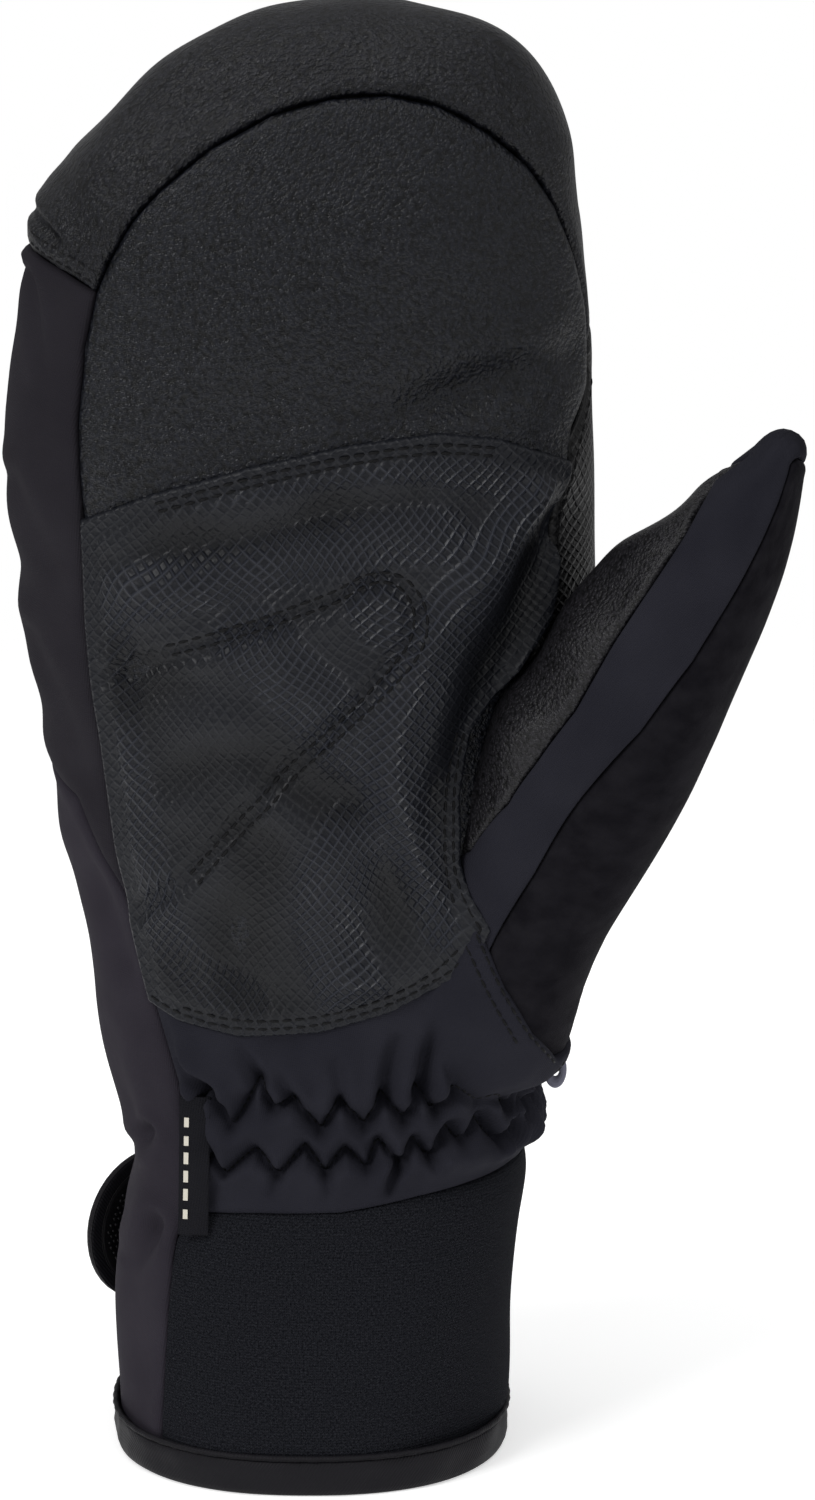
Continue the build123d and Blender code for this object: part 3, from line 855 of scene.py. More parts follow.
# Thumb: its own form, buried in the hand at the root.
thumbSleeve, thumbCap = Sleeve(thumb), Cap(thumb)
stripRight = [(-3.5, -10), (-4.5, 0), (-6.0, 18), (-5.4, 33), (-4.4, 52), (-0.6, 68), (1.9, 84), (2.9, 96),
              (3.4, 109.5), (3.0, 117), (1.8, 124)]
stripLeft = [(-20, -10), (-20, 0), (-18.9, 18), (-17.5, 29.5), (-15.8, 43), (-14.9, 53), (-13.1, 66),
             (-12.7, 80), (-11.4, 92), (-9.9, 103.5), (-8.8, 112), (-6.6, 119.5)]


def onThumb(points, behind=False):
    return [thumb.at(x, w, behind) for x, w in points]


leftFront, rightFront = onThumb(stripLeft), onThumb(stripRight)
leftBehind = onThumb(stripLeft[:-2], True)
thumbCover = {"leather": {"roll": 1.1, "rollWidth": 1.8, "lift": -0.1},
              "strip": {"roll": 0.9, "rollWidth": 1.6}, "suede": {"roll": 1.0, "rollWidth": 1.8, "lift": 0.1}}


def leatherShape(n, v, p, far):
    return 0.45 * smooth(far, 0.5, 5) * waves(p, 18, 21)


def stripShape(n, v, p, far):
    return 0.22 * smooth(far, 0.5, 5) * waves(p, 24, 22)


def suedeShape(n, v, p, far):
    low = smooth(-v, -55, -20)
    return smooth(far, 0.5, 6) * (0.32 * waves(p, 26, 23) - 0.5 * low * np.abs(waves(p, 14, 24)))


leatherEnd = (-0.32, float(thumb.up(114.5)))
thumbLeatherPanel = panel("thumb_leather", thumbSleeve, leftFront + [leatherEnd] + leftBehind[::-1],
                          thumbLeather.mat, step=1.0, shape=leatherShape, **thumbCover["leather"])
capBack = [(0.1, 125), (0.2, 124), (0.3, 122), (0.4, 118), (0.5, 115.5), (0.6, 114.5), (0.68, 114.5)]
capBack = [(n, float(thumb.up(w))) for n, w in capBack]
stripPanel = panel("thumb_strip_softshell", thumbCap, rightFront + capBack
                   + [(n + 1 if n < -0.1 else n, v) for n, v in leftFront[::-1]], softshell.mat, step=1.6,
                   shape=stripShape, **thumbCover["strip"])
suedePanel = panel("thumb_suede", thumbSleeve,
                   rightFront + capBack + [(n + 1, v) for n, v in leftBehind[::-1]],
                   suede.mat, step=1.1, shape=suedeShape, **thumbCover["suede"])
print("thumb covered")

# Index strip, patch, palm and heel lie over the thumb's root.
indexStrip = {"roll": 1.0, "lift": 0.3}
hollow = {"line": [(25, 136), (26.5, 142), (29, 152), (32, 162), (36, 170), (40.5, 178), (45, 188),
                   (50, 200)],
          "depth": 4.8}


def hollowed(p):
    # how far the palm sinks beside the thumb
    line = np.array(hollow["line"], float)
    side = p[:, 0] - np.interp(p[:, 2], line[:, 1], line[:, 0])
    return hollow["depth"] * smooth(side, -8, 2) * smooth(p[:, 2], 130, 150) * (1 - smooth(p[:, 2], 188, 200))


def edgeBand(n, v, p, far):
    # the net fades out towards the edge
    return {"band": smooth(far, 1.5, 4.0)}


def indexShape(n, v, p, far):
    tucked = 1.6 * (1 - smooth(p[:, 2], 84, 94))
    sunk = 0.7 * hollowed(p) * (1 - smooth(n, 0.17, 0.25))
    return 0.3 * smooth(far, 0.5, 5) * waves(p, 22, 31) - sunk - tucked


indexFoot = [onHand(0.17, 104), onHand(0.24, 88), onHand(0.29, 81)]
indexTop = [onHand(0.3, 228), onHand(0.26, 225)]
# the index strip wears the darker, painted-shade copy of the grip leather
index = panel("index_grip_leather", sleeve,
              seam(indexEdge) + indexFoot + sideLine(88, 231, bandTurn, 24) + indexTop,
              shadedGripLeather.mat, shape=indexShape, marks=edgeBand, **indexStrip)

gripPatch = {"lift": 1.1, "roll": 0.9, "rollWidth": 1.3, "thick": 1.3}
hookLine = [(-41.2, 160), (-25.6, 166.7), (-8.9, 172.6), (5.9, 178), (11.4, 181.7), (16, 181.6),
            (19.1, 177.6), (19.7, 172.8), (16.9, 167), (9.5, 158.6), (-1.6, 148), (-12.9, 135),
            (-22.4, 123.5), (-33.1, 113.8)]
valleys = [([(24, 140), (23, 134), (25, 126)], 1.8, 3.4),
           ([(-38, 184), (-24, 187), (-8, 191), (8, 196), (20, 198)], 1.3, 3.4),
           ([(-26, 142), (-14, 150), (-2, 142), (8, 138)], 1.6, 4.4),
           ([(-8, 130), (-12, 118), (-14, 104)], 1.9, 5.2), ([(14, 124), (16, 114), (18, 104)], 0.9, 3.4),
           ([(-36, 160), (-22, 162), (-12, 160)], 0.7, 4.0)]
ridges = [([(44, 198), (38, 190), (31, 182), (24, 172), (19, 163), (15, 150), (15.5, 140), (21, 129),
            (26, 114)], 2.5, 4.0),
          ([(-34, 178), (-18, 182), (-2, 187), (12, 190), (24, 190)], 0.7, 4.0),
          ([(-10, 171), (-4, 164), (3, 156), (8, 150)], 0.7, 4.5),
          ([(8, 132), (3, 122), (4, 110), (8, 100)], 0.9, 4.6)]
# bands along the lit ridges where the pressed net shows; the material colours the net lighter there, partly
# as painted highlight
bandLines = [([(-38, 194), (-22, 199), (0, 203), (20, 205), (42, 198)], 3.4), (ridges[0][0], 5.4),
             (ridges[1][0], 5.0), (ridges[2][0], 6.4), (ridges[3][0], 6.0), ([(12, 178), (14, 174)], 5.0),
             ([(-37, 174), (-35, 150), (-31, 128), (-26, 106), (-12, 98)], 4.0)]


def patchRelief(p):
    rise = 0.55 * waves(p, 30, 33) + 0.25 * waves(p, 15, 34)
    for lines, way in ((valleys, -1), (ridges, 1)):
        for points, depth, width in lines:
            away, _ = awayFrom(p, points)
            rise += way * depth * np.exp(-(away / width) ** 2)
    return rise


def patchShape(n, v, p, far):
    stitched, _ = awayFrom(p, hookLine)
    groove = -0.9 * np.exp(-((stitched - 1.0) / 0.8) ** 2) + 0.3 * np.exp(-((stitched - 3.2) / 1.4) ** 2)
    border = -0.5 * np.exp(-((far - 1.7) / 0.55) ** 2) - 0.5 * np.exp(-((far - 3.2) / 0.55) ** 2)
    return smooth(far, 2.5, 9) * patchRelief(p) - hollowed(p) + groove * smooth(far, 1, 3) + border


def patchMarks(n, v, p, far):
    band = np.zeros(len(p))
    for points, width in bandLines:
        away, _ = awayFrom(p, points)
        band = np.maximum(band, 1 - smooth(away, width * 0.75, width * 1.35))
    # painted shade: "deep" is high in the relief's valleys and in the hollow beside the thumb, and the
    # material darkens the colour there
    deep = 0.75 * smooth(-patchRelief(p), -0.6, 1.6) + 0.95 * hollowed(p) / hollow["depth"]
    return {"band": band * smooth(far, 3.6, 5.2), "deep": np.clip(deep, 0, 1) * smooth(far, 1, 6)}


patch = panel("palm_grip_patch", sleeve, seam(patchTop + patchRight[1:] + patchFoot[1:] + patchLeft[1:-1]),
              gripLeather.mat, step=1.0, shape=patchShape, marks=patchMarks,
              over=(thumb, 0.5, 8, lambda p: 1.2 + 10 * (1 - smooth(p[:, 2], 117, 133))), **gripPatch)
palm = panel("palm_leather", sleeve, seam([(-40, 193), (49, 203)]) + [onHand(0.29, 190), onHand(0.29, 92)]
             + seam([(30, 98), (-28, 98)]),
             leather.mat, step=2.0, lift=-1.2, shape=lambda n, v, p, far: -0.8 * hollowed(p))

# Heel: gathered by the elastic between two zigzag rows.
gathers = {"top": [(-20.5, 77.5), (-18.7, 80.2), (-14.9, 72.6), (-12.7, 76.5), (-9.6, 82.8), (-7.1, 76.8),
                   (-3.2, 78.8), (2.0, 72.3), (5.4, 78.8), (10.2, 73.1), (13.4, 79.5), (17.5, 74.0),
                   (20.1, 80.5), (23.1, 75.5), (26.7, 80.7), (30.5, 76.8), (33.1, 78.6), (35.7, 73.6),
                   (37.9, 78.6)],
           "bottom": [(-21, 63), (-18.9, 66.8), (-16.7, 62.6), (-10.6, 68.4), (-6.3, 63.4), (-1.1, 69.4),
                      (2.8, 63.9), (6.3, 69.0), (10.6, 64.7), (12.7, 70.3), (16.6, 65.7), (19.2, 70.4),
                      (22.2, 66.1), (25.7, 72.0), (27.9, 68.4), (31.1, 73.0), (34.0, 67.0), (36.5, 70.5)],
           "groove": 2.7, "grooveWidth": 0.6, "puff": 2.5, "pleatPitch": 4.6, "foldDepth": 2.7, "floor": -1.7,
           "lobes": [(1.5, 30, 63, 8, 5), (1.0, 4, 60, 14, 4), (0.9, 44, 73, 6, 4), (1.6, 43, 58.5, 6, 3)]}
folds = [([(-19.2, 80.2), (-23, 83), (-27.5, 86)], 1.1, 1.3),
         ([(-25.3, 83), (-28.5, 90), (-30.5, 97)], 0.9, 1.8),
         ([(-9.6, 82.8), (-11.5, 86), (-14, 89)], 0.8, 1.2), ([(-3.2, 78.8), (-5, 82), (-9, 86)], 0.7, 1.3),
         ([(5.4, 78.8), (5.6, 83), (4.5, 88)], 0.7, 1.4), ([(13.4, 79.5), (14.4, 85), (16.8, 92)], 1.1, 1.4),
         ([(20.1, 80.5), (21.5, 86), (24.4, 95)], 1.2, 1.4), ([(26.7, 80.7), (29, 87), (32.2, 96)], 1.2, 1.4),
         ([(33.1, 78.6), (36.0, 83), (39.0, 89)], 1.1, 1.2), ([(37.9, 78.6), (40.5, 82), (43, 86)], 0.8, 1.1),
         ([(16.6, 65.7), (14.8, 62.5), (14.4, 57)], 1.3, 1.0),
         ([(-6.3, 63.4), (-6.8, 61), (-8, 58)], 0.5, 1.1), ([(2.8, 63.9), (3.4, 61), (3.0, 58)], 0.5, 1.0),
         ([(22.2, 66.1), (23, 64), (24, 62)], 0.6, 1.0), ([(36.5, 70.5), (36.9, 65), (37.4, 60)], 1.2, 1.1)]


def zigzagOn(rows):
    # a zigzag row on the palm side, carried on round the thumb's side
    line = onFront(rows)
    x, v = line[-1]
    extra, across, climb = [], 2.3, 6.5
    while x < (bandTurn + 0.02) * hand.round:
        x, v, climb = x + across, v + climb, -climb
        extra.append((x, v))
    return np.vstack([line, np.array(extra)])


topRow, bottomRow = zigzagOn(gathers["top"]), zigzagOn(gathers["bottom"])


def heelShape(n, v, p, far):
    at = np.stack([n * hand.round, v], -1)
    farTop, _ = nearness(at, topRow)
    farLow, _ = nearness(at, bottomRow)
    near = np.minimum(farTop, farLow)
    level = p[:, 2]
    band = smooth(level, 59, 66) * (1 - smooth(level, 80, 92))
    pillow = gathers["puff"] * band * (1 - np.exp(-(near / 1.9) ** 2))
    narrow = gathers["grooveWidth"]
    cut = -gathers["groove"] * (np.exp(-(farTop / narrow) ** 2) + np.exp(-(farLow / narrow) ** 2))
    lobe = sum(high * spot(p, *at) for high, *at in gathers["lobes"])
    aside = smooth(p[:, 0], 30, 40) * smooth(level, 60, 66) * (1 - smooth(level, 82, 95))
    pleat = aside * 1.1 * np.sin(2 * math.pi * n * hand.round / gathers["pleatPitch"])
    swell = 0.5 * smooth(level, 76, 90) * waves(p, 17, 41) + 0.35 * band * waves(p, 7, 43)
    soft = smooth(far, 0.4, 4)
    relief = pillow + cut + lobe + pleat + gathers["foldDepth"] * creases(p, folds) + swell
    floor = gathers["floor"]
    return soft * (0.5 * band + np.where(relief < floor, floor + 0.35 * (relief - floor), relief))


def draped(points, clear):
    # chart place on the hand of points seen at (x, height) once the cloth is pushed clear of the thumb
    out = []
    n = np.linspace(0, 0.3, 121)
    for x, z in points:
        v = float(hand.up(z))
        p = hand.point(n, np.full(len(n), v))
        away = hand.normal(n, np.full(len(n), v))
        p = p + away * pushOut(p, away, thumb, clear)[:, None]
        hit = np.argmax(p[:, 0] >= x) if (p[:, 0] >= x).any() else np.argmax(p[:, 0])
        out.append((float(n[hit]), v))
    return out


heelCloth = {"roll": 1.2, "rollWidth": 1.8, "lift": 0.25}
lowerThumb = [(31.0, 116.0), (36.9, 102.8), (42.4, 93.4), (47.2, 86.5)]
heelTop = [(-32.5, 105)] + [(x, z + 1.5) for x, z in patchFoot[::-1][1:-2]]
heelSide = draped(lowerThumb, 1.2)
heel = panel("heel_softshell", sleeve, seam(heelTop) + heelSide + [onHand(0.29, 86), onHand(bandTurn, 92)]
             + sideLine(90, 58, bandTurn) + seam(cuffTop)[::-1]
             + seam([(-23.2, 60.7), (-25, 78), (-29.6, 95)]),
             softshell.mat, step=0.65, shape=heelShape,
             over=(thumb, 1.1, 10, lambda p: 13.0 * smooth(p[:, 2], 68, 74)),
             **heelCloth)
print("hand covered")

cuffKnit = {"roll": 0.8}


def cuffShape(n, v, p, far):
    swell = 0.5 * smooth(p[:, 2], 30, 52) * spot(p, 34, 50, 10, 12)
    return smooth(far, 0.5, 5) * 0.4 * waves(p, 36, 51) + swell


cuff = panel("cuff_knit", sleeve, seam(cuffTop) + sideLine(60, 2, 0.499)
             + seam([(-29.6, 2), (-29.5, 9.6), (-28.3, 30.2), (-26.2, 48.6)]),
             knit.mat, shape=cuffShape, thick=2.4, **cuffKnit)
backCuff = panel("cuff_knit_back", backSleeve, sideLine(60, 2, 0.5) + sideLine(2, 60, 1 - bandTurn), knit.mat,
                 shape=cuffShape,
                 thick=2.4, **cuffKnit)


# Rings round the wrist and bags for the inner layers.
def ringOf(name, form, profile, material, count=260, ripple=None):
    # sweeps a closed profile of (lift, height) round a form
    n = np.arange(count) / count - 0.5
    rows = []
    for lift, z in profile:
        v = np.full(count, float(form.up(max(z, 0.0))))
        p = form.point(n, v)
        out = form.normal(n, v)
        out[:, 2] = 0
        out /= np.linalg.norm(out, axis=1, keepdims=True)
        grow = np.reshape(lift + (ripple(n, z) if ripple else 0), (-1, 1))
        q = p + out * grow
        q[:, 2] = z
        rows.append(q)
    verts = np.concatenate(rows)
    k = len(profile)
    last = (k - 1) * count
    faces = tubeFaces(0, count, k - 1)
    faces += [(last + i, last + (i + 1) % count, (i + 1) % count, i) for i in range(count)]
    obj = addMesh(name, verts * mm, faces, material)
    lengths = stations(profile)
    mapCloth(obj, [(i / count * form.round, lengths[j]) for j in range(k) for i in range(count)])
    return obj


def bagOf(name, form, outer, thick, mouth, material, count=96, rows=70):
    # closed bag between two insets, open at the mouth
    n = np.arange(count) / count - 0.5
    levels = np.linspace(float(form.up(mouth)), form.length, rows)[:-1]
    sheets = []
    for inset in (outer, outer + thick):
        ring = []
        for v in levels:
            p = form.point(n, np.full(count, v))
            ring.append(p - form.normal(n, np.full(count, v)) * inset)
        tip = form.place(np.array([[form.x[-1], form.y[-1], form.z[-1] - inset]]))
        sheets.append(np.concatenate(ring + [tip]))
    total = len(sheets[0])
    faces = []
    for sheet, flip in ((0, False), (1, True)):
        base = sheet * total
        faces += tubeFaces(base, count, len(levels) - 1, flip)
        for i in range(count):
            a, b = base + (len(levels) - 1) * count + i, base + (len(levels) - 1) * count + (i + 1) % count
            tri = (a, b, base + total - 1)
            faces.append(tri[::-1] if flip else tri)
    for i in range(count):
        faces.append((i, total + i, total + (i + 1) % count, (i + 1) % count))
    obj = addMesh(name, np.concatenate(sheets) * mm, faces, material)
    mapCloth(obj, 2 * ([(i / count * form.round, v) for v in levels for i in range(count)]
                       + [(0, form.length)]))
    return obj


def hemRipple(n, z):
    at = np.stack([np.cos(2 * math.pi * n) * 38, np.sin(2 * math.pi * n) * 38, np.full(len(n), z * 2.0)], -1)
    return 0.18 * waves(at, 9, 61) * min(z / 3, 1)


hemProfile = [(0.1, 7.1), (0.5, 7.2), (0.9, 6.7), (1.0, 5.0), (1.05, 3.0), (1.0, 1.4), (0.7, 0.5),
              (0.1, 0.05), (-2.0, 0.0), (-4.2, 0.05), (-5.0, 0.5), (-5.4, 1.4), (-5.45, 4.0), (-5.3, 6.7),
              (-4.9, 7.2), (-4.6, 7.1), (-4.55, 6.6), (-4.6, 1.2), (-3.9, 0.95), (-0.5, 0.95), (-0.05, 1.2),
              (-0.05, 6.6)]
hemBinding = ringOf("hem_binding_cloth", hand, hemProfile[::-1], bindingCloth.mat, ripple=hemRipple)
piping = {"out": 0.75, "height": 7.75, "radius": 0.6}
pipe = [(piping["out"] + piping["radius"] * math.cos(a), piping["height"] + piping["radius"] * math.sin(a))
        for a in np.linspace(0, 2 * math.pi, 10, endpoint=False)]
hemPiping = ringOf("hem_piping", hand, pipe, bindingCloth.mat,
                   ripple=lambda n, z: 0.08 * np.sin(2 * math.pi * n * 60))
liningProfile = [(-4.4, 1.3), (-4.4, 56.9), (-9.0, 56.9), (-9.0, 55.7), (-2.9, 55.5), (-2.9, 1.3)]
cuffLining = ringOf("cuff_lining_fleece", hand, liningProfile, fleece.mat, count=160)
elasticProfile = [(-3.6, 61.6), (-3.6, 74.4), (-2.7, 74.4), (-2.7, 61.6)]
elastic = ringOf("wrist_elastic_web", hand, elasticProfile, elasticWeb.mat, count=240,
                 ripple=lambda n, z: 0.12 * np.sin(2 * math.pi * n * 70))
bagMouth, thumbMouth = 57.5, 12
insulation = bagOf("insulation_bag", hand, 6.0, 1.2, bagMouth, padding.mat)
membrane = bagOf("membrane_bag", hand, 7.4, 0.35, bagMouth, film.mat)
lining = bagOf("lining_bag", hand, 7.95, 1.4, bagMouth, fleece.mat)
thumbInsulation = bagOf("thumb_insulation_bag", thumb, 2.6, 3.2, thumbMouth, padding.mat, 72, 60)
thumbMembrane = bagOf("thumb_membrane_bag", thumb, 6.0, 0.35, thumbMouth, film.mat, 72, 60)
thumbLining = bagOf("thumb_lining_bag", thumb, 6.6, 1.2, thumbMouth, fleece.mat, 72, 60)
print("inner layers made")


# Strap pieces on the back of the cuff, label and nub.
def offPath(path, s):
    # places at s along a path seen from above, and the ways out of it
    lengths, ahead = stations(path), headings(path)
    base = np.stack([np.interp(s, lengths, path[:, k]) for k in (0, 1)], -1)
    way = np.stack([np.interp(s, lengths, ahead[:, k]) for k in (0, 1)], -1)
    return base, np.stack([way[..., 1], -way[..., 0]], -1)


def bandOn(name, path, outline, lift, thick, material, step=0.9, shape=None):
    # an upright band along a path on the back: outline is (along the path, height)
    coords, tris, edge = flatMesh(np.array(outline, float), step, (0.25, 0.6))
    far, _ = nearness(coords, edge, True)
    base, out = offPath(path, coords[:, 0])
    ease = rolled(far, 0.35, 0.6)
    wave = shape(coords, far) if shape else 0
    sheets = []
    for depth in (lift + thick - ease + wave, lift + ease):
        q = base + out * np.reshape(depth, (-1, 1))
        sheets.append(np.stack([q[:, 0], q[:, 1], coords[:, 1]], -1))
    verts, faces = closeSheet(sheets[0], sheets[1], tris[:, ::-1])
    mesh = addMesh(name, verts * mm, faces, material)
    edges = np.array([(verts[f[1]] - verts[f[0]], verts[f[2]] - verts[f[0]]) for f in faces[:60]])
    facing = np.cross(edges[:, 0], edges[:, 1])[:, :2] @ np.mean(out, axis=0)
    if np.mean(facing) < 0:
        mesh.data.flip_normals()
    mapCloth(mesh, np.concatenate([coords, coords]))
    return mesh


def backPath(x0, x1):
    # the back of the hand seen from above, at the height of the strap's middle
    v = float(hand.up(34.5))
    half, deep, mid, y = [float(np.interp(v, hand.v, q)) for q in (hand.half, hand.depth, hand.x, hand.y)]
    x = np.linspace(x0, x1, 40)
    aside = np.clip(np.abs((x - mid) / half), 0, 1)
    return np.stack([x, y + deep * (1 - aside ** hand.power) ** (1 / hand.power)], -1)


def endRound(length, low, high, start=0.0):
    radius = (high - low) / 2
    middle = (high + low) / 2
    curve = [(length - radius + radius * math.sin(a), middle + radius * math.cos(a))
             for a in np.linspace(0, math.pi, 22)]
    return [(start, high)] + curve + [(start, low)]


def inStrap(length, margin=0.0, start=0.0):
    # a round-ended outline in the strap's width
    return endRound(length, strap["low"] + margin, strap["high"] - margin, start)


# heights, and where each band runs across the back
strap = {"low": 19.0, "high": 50.0, "anchor": (31.0, -11.0), "loop": (-15.0, -33.0), "tab": (-4.0, -28.0),
         "reach": -44.2, "thick": 1.4, "anchorLift": 0.6, "tabLift": 2.1}
anchorPath = backPath(*strap["anchor"])
anchorLength = pathLength(anchorPath)
anchorShape = [(0, strap["high"]), (anchorLength, strap["high"]), (anchorLength, strap["low"]),
               (0, strap["low"])]
anchor = bandOn("strap_anchor_web", anchorPath, anchorShape, strap["anchorLift"], strap["thick"], webbing.mat)
loopPath = backPath(*strap["loop"])
patchMargin = 2.6
loop = bandOn("loop_patch_pile", loopPath, inStrap(pathLength(loopPath), patchMargin), 0.3, 0.7, loopPile.mat)
tabPath = backPath(*strap["tab"])
lead = (tabPath[-1] - tabPath[-2]) / np.linalg.norm(tabPath[-1] - tabPath[-2])
beyond = (strap["reach"] - tabPath[-1][0]) / lead[0] - strap["thick"]
tabPath = np.vstack([tabPath, [tabPath[-1] + lead * s for s in np.linspace(1, beyond, 14)]])
tabLength = pathLength(tabPath)
tab = bandOn("strap_tab_web", tabPath, inStrap(tabLength), strap["tabLift"], strap["thick"], webbing.mat,
             shape=lambda c, far: 0.3 * np.exp(-((far - 0.9) / 0.9) ** 2))
rim = bandOn("strap_tab_rim", tabPath, inStrap(tabLength), 1.75, 0.5, bindingCloth.mat, step=0.7)
hookFrom, hookDepth, hookPitch, hookRows = 14.0, 1.3, 1.2, 1.15
hookBed = bandOn("hook_patch_bed", tabPath, inStrap(tabLength - 2.4, patchMargin, hookFrom), hookDepth, 0.5,
                 hookBlack.mat)


def beads(name, items, material):
    # closed six-sided tubes: each item is a list of rings of (centre, one way, other way, radius)
    ring = np.linspace(0, 2 * math.pi, 6, endpoint=False)
    verts, faces = [], []
    for rings in items:
        base = len(verts)
        for centre, one, other, radius in rings:
            verts += [centre + (one * math.cos(a) + other * math.sin(a)) * radius for a in ring]
        faces += tubeFaces(base, 6, len(rings) - 1)
        faces.append(tuple(range(base + 5, base - 1, -1)))
        faces.append(tuple(range(len(verts) - 6, len(verts))))
    return addMesh(name, np.array(verts) * mm, faces, material)


def stud(place, way):
    # a small round stud standing on a face
    side = np.cross(way, [0, 0, 1.0])
    side /= np.linalg.norm(side)
    top, radius, high = np.cross(side, way), 0.33, 0.55
    profile = ((0.55, -0.2), (0.6, 0.55), (1.0, 0.75), (0.55, 1.0))
    return [(place + way * high * rise, side, top, radius * share) for share, rise in profile]


spots = []
taken = resample(inStrap(tabLength - 3.6, 3.8, hookFrom + 1), 1.0)
for i, z in enumerate(np.arange(strap["low"] + 4, strap["high"] - 3, hookRows)):
    for s in np.arange(hookFrom + 1 + (i % 2) * hookPitch / 2, tabLength - 3, hookPitch):
        if inside(np.array([[s, z]]), taken)[0]:
            spots.append((s + rng.uniform(-0.15, 0.15), z + rng.uniform(-0.15, 0.15)))
spots = np.array(spots)
base, out = offPath(tabPath, spots[:, 0])
places = np.column_stack([base + out * hookDepth, spots[:, 1]])
ways = np.column_stack([-out, np.zeros(len(out))])
hooks = beads("hook_patch_hooks", [stud(place, way) for place, way in zip(places, ways)], hookBlack.mat)

label = {"left": -25.2, "right": -19.4, "low": 51.0, "high": 78.6, "thick": 0.5, "lean": 0.045}
labelRows, labelCols = 60, 13
labelHigh = label["high"] - label["low"]


def labelFace(depth):
    rows = []
    for j in range(labelRows + 1):
        z = label["low"] + labelHigh * j / labelRows
        for i in range(labelCols + 1):
            x = label["left"] + (label["right"] - label["left"]) * i / labelCols
            n, v = hand.at(x, max(z, 56))
            y = hand.point(np.array([n]), np.array([v]))[0, 1]
            base = -28.6 + 0.1 * math.sin(z * 0.35) - 0.10 * (x - label["left"])
            bow = 0.25 * math.sin(math.pi * i / labelCols)
            rows.append((x + label["lean"] * (z - 64) * 0.5, min(y - 1.3, base) - depth - bow, z))
    return np.array(rows)


def gridFaces(cols, rows):
    faces = []
    for j in range(rows):
        for i in range(cols):
            a = j * (cols + 1) + i
            faces += [(a, a + 1, a + cols + 2), (a, a + cols + 2, a + cols + 1)]
    return np.array(faces)


labelTop, labelBottom = labelFace(label["thick"]), labelFace(0)
verts, faces = closeSheet(labelTop, labelBottom, gridFaces(labelCols, labelRows))
labelObj = addMesh("seam_label_woven", verts * mm, faces, labelCloth.mat)
mapCloth(labelObj, verts[:, [0, 2]])
dashVerts, dashFaces = [], []
dashHigh, dashCols = 2.2, (2, 4)
for z in (54.0, 58.0, 61.6, 65.2, 68.8, 72.4):
    low, high = [int(round((h - label["low"]) / labelHigh * labelRows)) for h in (z, z + dashHigh)]
    pick = [j * (labelCols + 1) + i for j in range(low, high + 1)
            for i in range(dashCols[0], dashCols[1] + 1)]
    face = labelTop[np.array(pick)]
    more, sides = closeSheet(face - [0, 0.18, 0], face + [0, 0.1, 0],
                             gridFaces(dashCols[1] - dashCols[0], high - low))
    dashFaces += [tuple(x + len(dashVerts) for x in f) for f in sides]
    dashVerts += [tuple(x) for x in more]
labelDashes = addMesh("seam_label_dashes", np.array(dashVerts) * mm, dashFaces, labelThread.mat,
                      rounded=False)

# the nub's light grey colour is a painted highlight
nubAt = (0.0466, -0.0150, 0.0795)
bpy.ops.mesh.primitive_torus_add(major_radius=0.0019, minor_radius=0.0009, major_segments=28,
                                 minor_segments=12)
nub = bpy.context.object
nub.name = "seam_end_nub"
nub.data.materials.append(nubHighlight.mat)
for vert in nub.data.vertices:
    x, y, z = vert.co
    vert.co = Vector((x * 0.8, z * 0.9 + y * 0.35, y * 1.25)) + Vector(nubAt)
bpy.ops.object.select_all(action="DESELECT")
print("strap and label made")


# Stitches: small capsules of thread laid on the cloth below them.
def surfaceOf(objs):
    verts, faces = [], []
    for obj in objs:
        base = len(verts)
        verts += [v.co * 1000 for v in obj.data.vertices]
        faces += [tuple(base + i for i in f.vertices) for f in obj.data.polygons]
    return BVHTree.FromPolygons(verts, faces)


def beside(line, offset):
    ahead = headings(line)
    return np.array(line, float) + np.stack([-ahead[:, 1], ahead[:, 0]], -1) * offset


def landing(chart, on):
    # the point on the cloth, and the way out of it, at a place of a chart
    form = chart.form
    tree = surfaceOf(on)

    def land(place):
        n, v = chart.lift(np.array([place]))
        p, out = form.point(n, v)[0], form.normal(n, v)[0]
        hit = tree.ray_cast(Vector(p + out * 14), Vector(-out), 22)
        return None if hit[0] is None else (np.array(hit[0]), out)
    return land


def landingOnBand(path, depth):
    # the same for a band: places are (along the path, height)
    def land(place):
        base, out = offPath(path, place[0])
        out = np.append(out, 0.0)
        return np.append(base, place[1]) + out * depth, out
    return land


def stitches(name, land, lines, material, pitch=2.5, length=1.9, radius=0.24, rounding=2):
    # share of the length, share of the radius and rise of each ring of a capsule
    profile = ((0, 0.3, -0.1), (0.12, 0.8, 0.1), (0.5, 1.0, 0.3), (0.88, 0.8, 0.1), (1, 0.3, -0.1))
    sink, items = 0.06, []
    for line in lines:
        places = resample(smoothLine(line, rounding), pitch, closed=False)
        for a, b in zip(places[:-1], places[1:]):
            share = length / pitch
            ends = [land(a + (b - a) * t) for t in (0.5 - share / 2, 0.5 + share / 2)]
            if None in ends or np.linalg.norm(ends[1][0] - ends[0][0]) > pitch * 1.6:
                continue
            (p0, out), (p1, _) = ends
            way = (p1 - p0) / np.linalg.norm(p1 - p0)
            across = np.cross(way, out)
            items.append([(p0 + (p1 - p0) * t + out * (rise * radius - sink), across, out, radius * wide)
                          for t, wide, rise in profile])
    obj = beads(name, items, material)
    work = bmesh.new()
    work.from_mesh(obj.data)
    bmesh.ops.recalc_face_normals(work, faces=work.faces)
    work.to_mesh(obj.data)
    work.free()
    return obj


